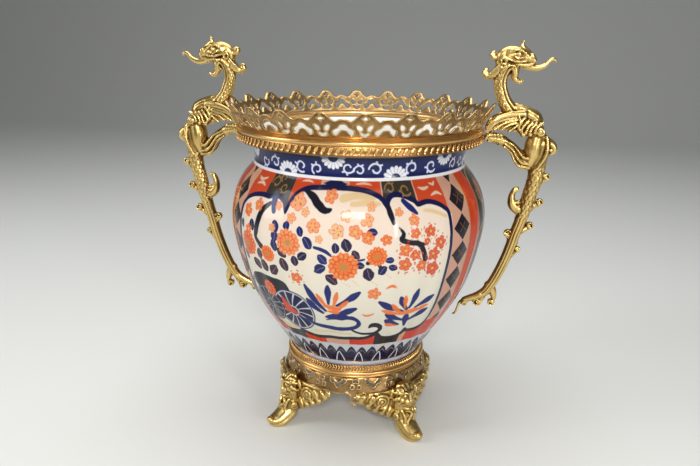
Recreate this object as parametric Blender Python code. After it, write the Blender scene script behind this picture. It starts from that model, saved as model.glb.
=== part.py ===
"""Porcelain cachepot in gilt bronze mounts.

A ribbed porcelain jar stands in a footed bronze stand and wears a pierced bronze rim,
with a winged dragon handle on each side.
Sizes are in metres and +Z is up. The origin is on the ground under the middle of the jar,
the handles lie along X, and the front of the jar faces -Y.
"""
import math

import bmesh
import bpy
from mathutils import Vector

# Clearance between pieces that touch
GAP = 0.0003

# Stand: four feet, a pierced skirt and the band that the jar sits in
STAND_HEIGHT = 0.065
BASE_BAND_HEIGHT = 0.0130
BASE_BAND_WALL = 0.0070
SEAT_THICKNESS = 0.0030
SEAT_WIDTH = 0.0150
SKIRT_DROP = 0.0175
SKIRT_FLARE = 0.0045
SKIRT_WALL = 0.0020
SKIRT_INSET = 0.0010
SKIRT_UNITS = 13
SKIRT_TURN = math.radians(-5.0)
PENDANT_DROP = 0.0130
FOOT_COUNT = 4
FOOT_REACH = 0.1165
FOOT_FIRST_TURN = math.radians(45.0)
LEAF_THICKNESS = 0.0048
LEAF_SPREAD = math.radians(36.0)
LEAF_DROP = 0.0370
LEAF_LAP = 0.0030
LEAF_SCALLOP = 0.0024

# Jar
JAR_FOOT_RADIUS = 0.0705
JAR_FOOT_RING = 0.0065
JAR_FOOT_RECESS = 0.0045
JAR_HEIGHT = 0.2466
BELLY_RADIUS = 0.1349
NECK_RADIUS = 0.1110
NECK_HEIGHT = 0.0322
LIP_SPREAD = 0.0050
LIP_HEIGHT = 0.0065
JAR_WALL = 0.0070
JAR_FLOOR = 0.0090
RIB_COUNT = 32
RIB_DEPTH = 0.0012

# Rim: moulded band over the jar's lip, with a pierced gallery on top
RIM_BAND_HEIGHT = 0.0149
RIM_BAND_WALL = 0.0122
RIM_TOP_PLATE = 0.0055
RIM_COVER = 0.0030
GALLERY_HEIGHT = 0.0234
GALLERY_INSET = 0.0027
GALLERY_FLARE = 0.0134
GALLERY_WALL = 0.0022
GALLERY_UNITS = 22
GALLERY_TURN = math.radians(10.4)

# Dragon handles, fixed to the outside of the rim band
HANDLE_HEIGHT = 0.2950
HANDLE_DRAWN_HEIGHT = 295.0

# Heights and radii that follow from the sizes above
base_band_top = STAND_HEIGHT + BASE_BAND_HEIGHT
base_band_radius = JAR_FOOT_RADIUS + BASE_BAND_WALL
jar_foot_height = STAND_HEIGHT + SEAT_THICKNESS + GAP
jar_rim_height = jar_foot_height + JAR_HEIGHT
shoulder_height = jar_rim_height - NECK_HEIGHT
lip_radius = NECK_RADIUS + LIP_SPREAD
rim_band_radius = lip_radius + RIM_BAND_WALL
gallery_foot_radius = rim_band_radius - GALLERY_INSET
rim_top = jar_rim_height + GAP + RIM_TOP_PLATE
rim_bottom = rim_top - RIM_BAND_HEIGHT
rim_middle = (rim_top + rim_bottom) / 2
skirt_top = STAND_HEIGHT - GAP
skirt_bottom = skirt_top - SKIRT_DROP
skirt_top_radius = base_band_radius - SKIRT_INSET
leaf_inner_radius = skirt_top_radius + SKIRT_FLARE + GAP

# Belly outline: share of the height from foot to shoulder, and share of the way to the widest radius
BELLY_RISE = ((0.05, 0.060), (0.114, 0.196), (0.198, 0.370), (0.297, 0.572), (0.42, 0.773),
              (0.542, 0.898), (0.666, 0.983), (0.76, 1.0))
SHOULDER_FALL = ((0.862, 0.807), (0.936, 0.448))

# Facets round the two bands
BAND_SEGMENTS = 36
STAND_SEGMENTS = 32

# Share of the facets that is kept where cast forms are joined into one body
HANDLE_FACET_SHARE = 0.55
FOOT_FACET_SHARE = 0.7


def make_material(name, colour, roughness, metallic):
    material = bpy.data.materials.new(name)
    material.use_nodes = True
    shader = material.node_tree.nodes["Principled BSDF"]
    shader.inputs["Base Color"].default_value = (*colour, 1.0)
    shader.inputs["Roughness"].default_value = roughness
    shader.inputs["Metallic"].default_value = metallic
    return material


def add_object(name, bm, material):
    mesh = bpy.data.meshes.new(name)
    bm.to_mesh(mesh)
    bm.free()
    mesh.materials.append(material)
    mesh.shade_smooth()
    mesh.set_sharp_from_angle(angle=math.radians(35.0))
    piece = bpy.data.objects.new(name, mesh)
    bpy.context.scene.collection.objects.link(piece)
    return piece


def clear_of(radius, segments):
    """Inner radius of a ring of flat facets that keeps the clearance to a round piece inside it."""
    return (radius + GAP) / math.cos(math.pi / segments)


def turned(radius, height, angle):
    """A point at this radius and height, at an angle measured from the front towards +X."""
    return Vector((radius * math.sin(angle), -radius * math.cos(angle), height))


def lathe(outline, segments, coarse_from=None):
    """Turn an outline around Z. It runs up the outside, and closes on the axis or on itself.

    A point is a radius and a height, and may add how far every second vertex of its ring sinks in.
    From the point numbered coarse_from on, a ring has half as many segments.
    """
    bm = bmesh.new()
    rings = []
    for index, (radius, height, *sink) in enumerate(outline):
        count = segments // 2 if coarse_from and index >= coarse_from else segments
        if radius == 0:
            rings.append([bm.verts.new((0, 0, height))] * count)
            continue
        depth = sink[0] if sink else 0.0
        rings.append([bm.verts.new(turned(radius - depth * (step % 2), height, step * math.tau / count))
                      for step in range(count)])
    spans = len(rings) if outline[0][0] else len(rings) - 1
    for index in range(spans):
        low = rings[index]
        high = rings[(index + 1) % len(rings)]
        share = len(low) // len(high)
        for step in range(len(high)):
            bottom = [low[(step * share + offset) % len(low)] for offset in range(share + 1)]
            corners = bottom + [high[(step + 1) % len(high)], high[step]]
            bm.faces.new(list(dict.fromkeys(corners)))
    return bm


def belly_outline():
    rise = shoulder_height - jar_foot_height
    points = [(JAR_FOOT_RADIUS, jar_foot_height)]
    for up, out in BELLY_RISE:
        radius = JAR_FOOT_RADIUS + out * (BELLY_RADIUS - JAR_FOOT_RADIUS)
        points.append((radius, jar_foot_height + up * rise))
    for up, out in SHOULDER_FALL:
        radius = NECK_RADIUS + out * (BELLY_RADIUS - NECK_RADIUS)
        points.append((radius, jar_foot_height + up * rise))
    points.append((NECK_RADIUS, shoulder_height))
    return points


def rib_depth(height):
    """Depth of the hollow between two ribs, which fades out at the foot and the shoulder."""
    share = (height - jar_foot_height) / (shoulder_height - jar_foot_height)
    return RIB_DEPTH * max(0.0, math.sin(math.pi * share)) ** 0.6


def inner_outline(outside, floor):
    """The inner wall, one wall thickness inside the outer one, from the neck down to the floor."""
    inside = []
    for index in range(2, len(outside) - 1, 2):
        before = Vector(outside[index - 1])
        after = Vector(outside[index + 1])
        along = (after - before).normalized()
        radius = outside[index][0] - along.y * JAR_WALL
        height = outside[index][1] + along.x * JAR_WALL
        if height > floor:
            inside.append((radius, height))
    inside.reverse()
    return inside


def build_jar(material):
    belly = belly_outline()
    lip_base = jar_rim_height - LIP_HEIGHT
    floor = jar_foot_height + JAR_FOOT_RECESS + JAR_FLOOR
    edge = 0.25 * JAR_WALL
    lip = [(NECK_RADIUS, lip_base - LIP_SPREAD),
           (lip_radius, lip_base),
           (lip_radius, jar_rim_height)]
    inside = [(NECK_RADIUS - JAR_WALL + edge, jar_rim_height),
              (NECK_RADIUS - JAR_WALL, jar_rim_height - edge),
              (NECK_RADIUS - JAR_WALL, shoulder_height - 0.3 * JAR_WALL)]
    inside += inner_outline(belly, floor)
    inside += [(JAR_FOOT_RADIUS - 0.7 * JAR_WALL, floor), (0, floor)]
    foot_inside = JAR_FOOT_RADIUS - JAR_FOOT_RING
    recess = jar_foot_height + JAR_FOOT_RECESS
    foot = [(0, recess), (foot_inside, recess), (foot_inside, jar_foot_height)]
    ribbed = [(radius, height, rib_depth(height)) for radius, height in belly]
    outline = foot + ribbed + lip + inside
    bm = lathe(outline, 2 * RIB_COUNT, len(foot) + len(ribbed))
    return add_object("porcelain_jar", bm, material)


def build_rim_band(material):
    inner = clear_of(lip_radius, BAND_SEGMENTS)
    cover = lip_radius - RIM_COVER
    ledge = jar_rim_height + GAP
    wide = rim_band_radius
    high = RIM_BAND_HEIGHT
    outline = [(inner, rim_bottom),
               (wide - 0.0016, rim_bottom),
               (wide, rim_bottom + 0.25 * high),
               (wide - 0.0028, rim_bottom + 0.52 * high),
               (wide - 0.0010, rim_bottom + 0.72 * high),
               (wide - 0.0034, rim_top),
               (cover, rim_top),
               (cover, ledge),
               (inner, ledge)]
    return add_object("rim_band", lathe(outline, BAND_SEGMENTS), material)


def pierced_ring(unit_loops, count, first_turn, place):
    """A ring of flat pattern units bent round the axis.

    unit_loops gives, for a unit's number, its outline and its holes as (share of the unit, share of the
    height) points; place turns an angle and a share of the height into the outer and inner points.
    """
    bm = bmesh.new()
    for number in range(count):
        loops = unit_loops(number)
        flat = bmesh.new()
        for loop in loops:
            corners = [flat.verts.new((u, h, 0)) for u, h in loop]
            for index, corner in enumerate(corners):
                flat.edges.new((corner, corners[(index + 1) % len(corners)]))
        bmesh.ops.triangle_fill(flat, edges=flat.edges[:], use_beauty=True, normal=(0, 0, 1))
        left = min(u for u, h in loops[0])
        right = max(u for u, h in loops[0])
        outer = {}
        inner = {}
        for vert in flat.verts:
            angle = first_turn + (number + vert.co.x) * math.tau / count
            out_point, in_point = place(angle, vert.co.y)
            outer[vert] = bm.verts.new(out_point)
            inner[vert] = bm.verts.new(in_point)
        for face in flat.faces:
            bm.faces.new([outer[vert] for vert in face.verts])
            bm.faces.new([inner[vert] for vert in reversed(face.verts)])
        for side in flat.edges:
            a, b = side.verts
            on_joint = any(abs(a.co.x - end) < 1e-6 and abs(b.co.x - end) < 1e-6 for end in (left, right))
            if side.is_boundary and not on_joint:
                bm.faces.new([outer[a], outer[b], inner[b], inner[a]])
        flat.free()
    bmesh.ops.remove_doubles(bm, verts=bm.verts[:], dist=0.00001)
    bmesh.ops.recalc_face_normals(bm, faces=bm.faces[:])
    return bm


def mirrored(loop, centre=0.0):
    """The same loop seen in a mirror that stands on the given share of the unit."""
    return [(2 * centre - u, h) for u, h in reversed(loop)]


def build_gallery(material):
    """Tall domed crests pierced by leaning slots and a cup, between low crests that stand over an arch."""
    crest = [(0.74, 0.71), (0.68, 0.67), (0.5, 0.75), (0.32, 0.67), (0.13, 0.92),
             (0.0, 1.0), (-0.13, 0.92), (-0.26, 0.71)]
    outline = [(-0.26, 0.0), (0.74, 0.0)] + crest
    slot = [(0.05, 0.33), (0.19, 0.44), (0.15, 0.56)]
    cup = [(-0.10, 0.27), (0.0, 0.08), (0.10, 0.27)]
    arch = [(0.27, 0.18), (0.40, 0.53), (0.60, 0.53), (0.73, 0.18), (0.5, 0.34)]
    loops = [outline, slot, mirrored(slot), cup, arch]

    def place(angle, share):
        radius = gallery_foot_radius + GALLERY_FLARE * share
        height = rim_top + GAP + GALLERY_HEIGHT * share
        return turned(radius, height, angle), turned(radius - GALLERY_WALL, height, angle)

    bm = pierced_ring(lambda number: loops, GALLERY_UNITS, GALLERY_TURN, place)
    return add_object("rim_gallery", bm, material)


def build_base_band(material):
    inside = clear_of(JAR_FOOT_RADIUS, STAND_SEGMENTS)
    seat_edge = JAR_FOOT_RADIUS - SEAT_WIDTH
    seat_top = STAND_HEIGHT + SEAT_THICKNESS
    wide = base_band_radius
    high = BASE_BAND_HEIGHT
    outline = [(seat_edge, STAND_HEIGHT),
               (wide - 0.0010, STAND_HEIGHT),
               (wide, STAND_HEIGHT + 0.20 * high),
               (wide - 0.0022, STAND_HEIGHT + 0.52 * high),
               (wide - 0.0018, STAND_HEIGHT + 0.88 * high),
               (wide - 0.0030, base_band_top),
               (clear_of(jar_radius_at(base_band_top), STAND_SEGMENTS), base_band_top),
               (inside, jar_foot_height),
               (inside, seat_top),
               (seat_edge, seat_top)]
    return add_object("base_band", lathe(outline, STAND_SEGMENTS), material)


def jar_radius_at(height):
    """The jar's outer radius at a height on its belly, on the straight runs between its rings."""
    belly = belly_outline()
    for (low_radius, low), (high_radius, high) in zip(belly, belly[1:]):
        if low <= height <= high:
            return low_radius + (high_radius - low_radius) * (height - low) / (high - low)
    return NECK_RADIUS


def build_skirt(material):
    """Pierced skirt under the base band, with a pendant near the middle of each side."""
    trefoil = [(-0.22, 0.17), (-0.10, 0.42), (0.0, 0.30), (0.10, 0.42), (0.22, 0.17), (0.0, 0.72)]
    upper = [(0.44, 0.30), (0.5, 0.12), (0.56, 0.30)]
    lower = [(0.38, 0.64), (0.41, 0.42), (0.47, 0.60)]
    plain_edge = [(0.74, 0.92), (0.5, 1.0), (0.26, 0.92), (0.0, 1.0), (-0.26, 0.92)]
    drop = 1.0 + PENDANT_DROP / SKIRT_DROP
    pendant_edge = [(0.74, 0.92), (0.66, 1.10), (0.62, drop - 0.2), (0.5, drop), (0.38, drop - 0.2),
                    (0.34, 1.10), (0.26, 0.92), (0.0, 1.0), (-0.26, 0.92)]
    eye = [(0.44, drop - 0.42), (0.5, drop - 0.60), (0.56, drop - 0.42), (0.5, drop - 0.24)]
    top = [(-0.26, 0.0), (0.74, 0.0)]
    holes = [trefoil, upper, lower, mirrored(lower, 0.5)]
    pendants = set()
    for side in range(FOOT_COUNT):
        middle = side * math.tau / FOOT_COUNT + 0.1
        pendants.add(round((middle - SKIRT_TURN) * SKIRT_UNITS / math.tau - 0.5) % SKIRT_UNITS)

    def unit(number):
        if number in pendants:
            return [top + pendant_edge] + holes + [eye]
        return [top + plain_edge] + holes

    def place(angle, share):
        radius = skirt_top_radius + SKIRT_FLARE * min(share, 1.0)
        height = skirt_top - SKIRT_DROP * share
        return turned(radius, height, angle), turned(radius - SKIRT_WALL, height, angle)

    return add_object("base_skirt", pierced_ring(unit, SKIRT_UNITS, SKIRT_TURN, place), material)


def tube(path, place, sides=8):
    """A closed solid along a path of (out, up, half thickness in the plane, half depth across it)."""
    bm = bmesh.new()
    rings = []
    for index, (out, up, half, depth) in enumerate(path):
        before = path[max(index - 1, 0)]
        after = path[min(index + 1, len(path) - 1)]
        along = Vector((after[0] - before[0], after[1] - before[1])).normalized()
        across = Vector((along.y, -along.x))
        ring = []
        for side in range(sides):
            angle = (side + 0.5) * math.tau / sides
            shift = half * math.cos(angle)
            ring.append(bm.verts.new(place(out + across.x * shift, depth * math.sin(angle), up + across.y * shift)))
        rings.append(ring)
    for low, high in zip(rings, rings[1:]):
        for side in range(sides):
            after = (side + 1) % sides
            bm.faces.new([low[side], low[after], high[after], high[side]])
    bm.faces.new(list(reversed(rings[0])))
    bm.faces.new(rings[-1])
    bmesh.ops.recalc_face_normals(bm, faces=bm.faces[:])
    return bm


def united(name, parts, material, facet_share):
    """Join closed parts into one closed body, and keep this share of its facets."""
    cutters = bpy.data.collections.new(name + "_parts")
    bpy.context.scene.collection.children.link(cutters)
    first = add_object(name + "_core", parts[0], material)
    for number, part in enumerate(parts[1:]):
        piece = add_object(f"{name}_part_{number}", part, material)
        bpy.context.scene.collection.objects.unlink(piece)
        cutters.objects.link(piece)
    union = first.modifiers.new("union", "BOOLEAN")
    union.operation = "UNION"
    union.solver = "EXACT"
    union.operand_type = "COLLECTION"
    union.collection = cutters
    bpy.context.view_layer.update()
    depsgraph = bpy.context.evaluated_depsgraph_get()
    mesh = bpy.data.meshes.new_from_object(first.evaluated_get(depsgraph))
    for piece in list(cutters.objects) + [first]:
        bpy.data.objects.remove(piece)
    bpy.data.collections.remove(cutters)
    bm = bmesh.new()
    bm.from_mesh(mesh)
    bmesh.ops.remove_doubles(bm, verts=bm.verts[:], dist=0.00002)
    bmesh.ops.dissolve_degenerate(bm, edges=bm.edges[:], dist=0.00002)
    bmesh.ops.triangulate(bm, faces=bm.faces[:])
    whole = add_object(name + "_whole", bm, material)
    thinning = whole.modifiers.new("thinning", "DECIMATE")
    thinning.ratio = facet_share
    depsgraph = bpy.context.evaluated_depsgraph_get()
    mesh = bpy.data.meshes.new_from_object(whole.evaluated_get(depsgraph))
    mesh.name = name
    bpy.data.objects.remove(whole)
    return mesh


def crocket(root_out, root_up, out, up, size):
    """Path of a small bud that leaves the tail at its root and ends in a round knob."""
    return [(root_out, root_up, size, size),
            (root_out + 0.5 * (out - root_out), root_up + 0.5 * (up - root_up), 0.7 * size, 0.9 * size),
            (root_out + 0.8 * (out - root_out), root_up + 0.8 * (up - root_up), size, 1.1 * size),
            (out, up, 0.6 * size, 0.8 * size)]


def dragon_handle_parts():
    """The handle's forms, drawn in millimetres out from the band's outer face and up from its middle."""
    scale = HANDLE_HEIGHT / HANDLE_DRAWN_HEIGHT
    fixing = rim_band_radius + GAP

    def place(out, side, up):
        return Vector((fixing + out * scale, side * scale, rim_middle + up * scale))

    neck = [(24, 24, 8, 8), (18.4, 31, 7.2, 6.6), (14.6, 38, 6.4, 5.6), (11.6, 45, 5.7, 5),
            (10.6, 52, 5.6, 4.9), (11.4, 59, 6, 5.2), (15, 67, 6.4, 5.6), (21, 75, 6, 5)]
    head = [(11.5, 76.4, 3.5, 3.5), (17, 77.4, 9.3, 7), (26, 76.8, 10.2, 8), (34.5, 75.4, 8.2, 7),
            (40.5, 73, 5.6, 5), (43, 71.4, 2.6, 3)]
    crest = [(33, 83, 3.2, 2.6), (31, 87.4, 2, 1.9), (31.8, 91.6, 0.6, 0.6)]
    tongue = [(36, 69, 3.6, 4.2), (43.5, 66.4, 2.8, 3.6), (49, 66.8, 2.8, 3), (53.2, 68.8, 2.6, 2.6),
              (56.2, 72.4, 2.2, 2.3), (59.2, 75.1, 1.9, 2), (62, 74.9, 1.7, 1.8), (63.2, 73.2, 1, 1.4)]
    jaw = [(23, 71, 4.4, 4.8), (25, 65.4, 3.4, 4.2), (25.8, 60.4, 2.6, 3.6), (26, 56.4, 2.5, 3.2),
           (28.6, 53.9, 2.1, 2.8), (31.8, 53.8, 1.6, 2.2), (33.4, 55, 0.9, 1.5)]
    ear = [(14, 78, 3.4, 4.4), (8.5, 75.6, 2.6, 3.6), (4.4, 75.2, 2.3, 3), (1.4, 77.2, 2.1, 2.6),
           (1.8, 80, 1.8, 2.4), (5, 80.4, 1.3, 1.8)]
    mane = [(15, 71, 5.5, 5.6), (9.5, 64, 4.6, 5), (4, 58.6, 3.8, 4), (-1.5, 57.4, 2.9, 3.2),
            (-4.7, 59.4, 2.3, 2.6), (-4.4, 62.4, 1.6, 2.2), (-1.8, 63, 1, 1.6)]
    back = [(20, 24, 4, 6), (30, 24.4, 6.4, 7), (41, 20.8, 7.4, 8), (51, 16, 8.6, 8.5), (57, 8, 8.2, 8.6),
            (57, -2, 8.4, 8.4)]
    wings = [(52, 8, 8, 9.5), (40, 10, 9.2, 10.5), (28, 13, 7.6, 12), (19, 13.5, 6.2, 13.5), (11.5, 9, 4.2, 14.5),
             (6.5, 4, 2.2, 15)]
    chest = [(61, 0, 5, 6), (56, -7, 11, 9), (51.5, -15, 11.5, 9.2), (46, -23, 9, 8), (41, -29, 4, 5)]
    arm = [(44, -26.5, 6.4, 6.5), (37, -24, 6.2, 6), (32, -17.5, 5.8, 5.6), (27.5, -11.5, 5.5, 5.2),
           (21.5, -8, 5.6, 5.4), (15, -5.4, 6, 6), (8, -3.3, 5.2, 7.6), (0.4, -2.6, 4, 8.4)]
    leaf_under = [(46, -29, 5, 6), (38, -27, 4.4, 5.4), (34, -31, 2.2, 3.6)]
    outer_scroll = [(58, -4, 6, 6), (64, -7.4, 5.4, 5.6), (69, -11.4, 4.4, 5), (68, -16.4, 3, 4)]
    tail = [(58, -8, 8.6, 7.6), (55, -28, 8.8, 7.4), (53.6, -46, 7.9, 7), (49.5, -62, 7.4, 6.6),
            (46.2, -77, 7, 6.4), (42.8, -90, 6.5, 6.2), (39, -103, 6.2, 6), (35.6, -117, 6, 5.6),
            (31, -132, 5.8, 5.4), (25.4, -147, 5.6, 5.2), (19.4, -160, 5.6, 5), (13, -170, 4.8, 4.6),
            (5, -176.4, 3.4, 4), (-3, -180.4, 2.8, 3.4), (-9, -183, 2.5, 2.9), (-13, -187.6, 2.2, 2.5),
            (-15, -193, 1.9, 2.2), (-17.4, -198.4, 1.7, 2), (-20.4, -199.8, 1, 1.5)]
    crockets = [crocket(55, -46, 66, -39.6, 4.2), crocket(50, -73, 61.4, -66.8, 4.2),
                crocket(45, -98, 55.6, -92, 4.2), crocket(36, -126, 46.4, -120, 3.6),
                crocket(39, -110, 31, -102, 4), crocket(17, -164, 20, -183, 4.4),
                crocket(9, -172, 4.6, -184.4, 4.2), crocket(-6, -180.6, -11.2, -188, 2.8)]
    leaf = [(47, -76, 5, 4.4), (39.5, -75, 5.2, 4.8), (33.6, -72.4, 5, 5), (31.4, -66, 3.4, 4.6),
            (33, -59.6, 2.8, 3.8), (35.4, -54, 2.2, 3), (38.4, -53.4, 1.2, 1.8)]
    forms = [tail, neck, head, crest, tongue, jaw, ear, mane, back, wings, chest, arm, leaf_under,
             outer_scroll, *crockets, leaf]
    full = (tail, neck, head, back, wings, chest, arm)
    return [tube(form, place, 8 if form in full else 6) for form in forms]


def build_handles(material):
    mesh = united("dragon_handle", dragon_handle_parts(), material, HANDLE_FACET_SHARE)
    for name, turn in (("dragon_handle_right", 0.0), ("dragon_handle_left", math.pi)):
        handle = bpy.data.objects.new(name, mesh)
        handle.rotation_euler.z = turn
        bpy.context.scene.collection.objects.link(handle)


def leaf_plate():
    """The spread of leafage either side of a foot, bent round the stand, with a scalloped lower edge."""
    columns = 12
    top = skirt_bottom + LEAF_LAP
    bm = bmesh.new()
    sections = []
    for index in range(columns + 1):
        share = 2 * index / columns - 1
        reach = abs(share)
        angle = share * LEAF_SPREAD
        lower = top - LEAF_LAP - LEAF_DROP * (1.0 - reach) ** 0.62
        if index % 2:
            lower -= LEAF_SCALLOP
        upper = top + LEAF_LAP * (1.0 - 1.5 * reach)
        proud = LEAF_THICKNESS * (1.0 if index % 2 else 0.65)
        outer_radius = leaf_inner_radius + proud
        sections.append([bm.verts.new(turned(leaf_inner_radius, lower, angle)),
                         bm.verts.new(turned(outer_radius, lower, angle)),
                         bm.verts.new(turned(outer_radius, upper, angle)),
                         bm.verts.new(turned(leaf_inner_radius, upper, angle))])
    for low, high in zip(sections, sections[1:]):
        for side in range(4):
            after = (side + 1) % 4
            bm.faces.new([low[side], low[after], high[after], high[side]])
    bm.faces.new(sections[0])
    bm.faces.new(sections[-1])
    bmesh.ops.recalc_face_normals(bm, faces=bm.faces[:])
    return bm


def foot_parts():
    """A leg with a mask, ending in a scrolled toe, in shares of the foot's reach and the stand's height."""
    root = leaf_inner_radius
    length = FOOT_REACH - root
    high = STAND_HEIGHT

    def place(out, side, up):
        return Vector((side, -(root + out * length), max(up * high, 0.0)))

    leg = [(0.16, 0.86, 0.115, 0.011), (0.20, 0.76, 0.165, 0.013), (0.20, 0.62, 0.205, 0.0128),
           (0.16, 0.46, 0.235, 0.0118), (0.16, 0.30, 0.25, 0.0118), (0.30, 0.155, 0.235, 0.0120),
           (0.54, 0.085, 0.11, 0.0118), (0.78, 0.085, 0.10, 0.0106), (0.93, 0.12, 0.08, 0.0082)]
    mask = [(0.25, 0.86, 0.04, 0.004), (0.30, 0.76, 0.13, 0.0100), (0.34, 0.62, 0.165, 0.0105),
            (0.31, 0.48, 0.14, 0.0085), (0.24, 0.38, 0.05, 0.0045)]
    return [leaf_plate(), foot_tube(leg, place, length, high), foot_tube(mask, place, length, high)]


def foot_tube(points, place, length, high):
    """A tube whose half thickness is a share of the foot's length, laid out in true proportions."""
    def place_true(out, side, up):
        return place(out / length, side, up / high)

    true_points = [(out * length, up * high, half * length if up > 0.1 else 0.0075 * half / 0.10, depth)
                   for out, up, half, depth in points]
    return tube(true_points, place_true)


def build_feet(material):
    mesh = united("foot", foot_parts(), material, FOOT_FACET_SHARE)
    names = ("foot_front_right", "foot_back_right", "foot_back_left", "foot_front_left")
    for number, name in enumerate(names):
        foot = bpy.data.objects.new(name, mesh)
        foot.rotation_euler.z = FOOT_FIRST_TURN + number * math.tau / FOOT_COUNT
        bpy.context.scene.collection.objects.link(foot)


def main():
    for piece in list(bpy.data.objects):
        bpy.data.objects.remove(piece)
    porcelain = make_material("glazed porcelain", (0.80, 0.80, 0.74), 0.12, 0.0)
    yellow_gilt = make_material("yellow gilt bronze", (0.78, 0.55, 0.18), 0.32, 1.0)
    copper_gilt = make_material("copper gilt bronze", (0.72, 0.40, 0.14), 0.30, 1.0)
    brown_gilt = make_material("brown gilt bronze", (0.48, 0.28, 0.09), 0.42, 1.0)
    build_jar(porcelain)
    build_rim_band(copper_gilt)
    build_gallery(brown_gilt)
    build_handles(yellow_gilt)
    build_base_band(copper_gilt)
    build_skirt(brown_gilt)
    build_feet(yellow_gilt)


main()
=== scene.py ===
"""Porcelain cachepot in gilt bronze mounts: its finished pieces, the floor, the light and the camera."""
import math

import bmesh
import bpy
import numpy as np
from mathutils import Matrix, Vector, kdtree


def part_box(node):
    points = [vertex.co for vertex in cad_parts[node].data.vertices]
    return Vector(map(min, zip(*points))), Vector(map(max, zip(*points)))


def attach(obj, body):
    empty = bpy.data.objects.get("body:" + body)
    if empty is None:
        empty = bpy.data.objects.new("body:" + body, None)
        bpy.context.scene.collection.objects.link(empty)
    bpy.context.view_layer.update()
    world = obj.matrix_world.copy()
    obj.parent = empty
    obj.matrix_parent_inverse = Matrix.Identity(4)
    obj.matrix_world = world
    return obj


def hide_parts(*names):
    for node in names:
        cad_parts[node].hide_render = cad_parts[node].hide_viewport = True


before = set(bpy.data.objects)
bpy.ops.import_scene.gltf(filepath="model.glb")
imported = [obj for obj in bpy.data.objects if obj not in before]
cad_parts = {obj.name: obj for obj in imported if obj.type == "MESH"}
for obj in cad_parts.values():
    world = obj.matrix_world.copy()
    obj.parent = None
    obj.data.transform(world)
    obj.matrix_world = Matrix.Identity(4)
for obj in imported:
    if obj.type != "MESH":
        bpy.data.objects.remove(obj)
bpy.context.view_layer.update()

MM = 0.001
TAU = math.tau

# Sizes in millimetres, read from the frame
rim_low, rim_high = (corner.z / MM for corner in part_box("rim_band"))
band_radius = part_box("rim_band")[1].y / MM
gallery_low, gallery_top = (corner.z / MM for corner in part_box("rim_gallery"))
gallery_tip_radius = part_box("rim_gallery")[1].x / MM
base_low, base_high = (corner.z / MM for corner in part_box("base_band"))
base_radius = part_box("base_band")[1].x / MM
skirt_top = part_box("base_skirt")[1].z / MM
skirt_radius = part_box("base_skirt")[1].x / MM
jar_low, jar_high = (corner.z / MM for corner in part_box("porcelain_jar"))
belly_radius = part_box("porcelain_jar")[1].x / MM
rim_middle = (rim_low + rim_high) / 2


# Node trees

class Wire:
    """A socket of a node tree that plain arithmetic works on."""

    def __init__(self, tree, socket):
        self.tree = tree
        self.socket = socket

    def calc(self, operation, *others, clamp=False):
        node = self.tree.nodes.new("ShaderNodeMath")
        node.operation = operation
        node.use_clamp = clamp
        for slot, value in zip(node.inputs, (self, *others)):
            plug(self.tree, value, slot)
        return Wire(self.tree, node.outputs[0])

    def __add__(self, other):
        return self.calc("ADD", other)

    def __sub__(self, other):
        return self.calc("SUBTRACT", other)

    def __mul__(self, other):
        return self.calc("MULTIPLY", other)

    def __truediv__(self, other):
        return self.calc("DIVIDE", other)

    def __pow__(self, other):
        return self.calc("POWER", other)

    def __rsub__(self, other):
        return -self + other

    def __neg__(self):
        return self * -1.0

    def abs(self):
        return self.calc("ABSOLUTE")

    def sin(self):
        return self.calc("SINE")

    def cos(self):
        return self.calc("COSINE")

    def waves(self, count):
        """Rounded waves from 0 to 1, twice the count on a full turn, where the wire is an angle."""
        return (self * count).cos().abs()

    def low(self, other):
        return self.calc("MINIMUM", other)

    def high(self, other):
        return self.calc("MAXIMUM", other)

    def fold(self, period):
        """Distance to the middle of its repeat, from minus half the period to plus half of it."""
        return self.calc("WRAP", period / 2, -period / 2)

    def step(self, edge, soft):
        """1 where the value is under the edge, 0 where it is over, over a soft border."""
        node = self.tree.nodes.new("ShaderNodeMapRange")
        plug(self.tree, self, node.inputs[0])
        node.inputs[1].default_value = edge - soft
        node.inputs[2].default_value = edge + soft
        node.inputs[3].default_value = 1.0
        node.inputs[4].default_value = 0.0
        return Wire(self.tree, node.outputs[0])

    def within(self, low, high, soft):
        """1 between the two values, over soft borders."""
        return ((self - (low + high) / 2).abs() - (high - low) / 2).step(0.0, soft)


def plug(tree, value, slot):
    """Join a wire to a socket, or set the socket to a number or a colour."""
    if isinstance(value, Wire):
        tree.links.new(value.socket, slot)
    elif isinstance(value, tuple):
        slot.default_value = (*value, 1.0)
    else:
        slot.default_value = value


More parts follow.
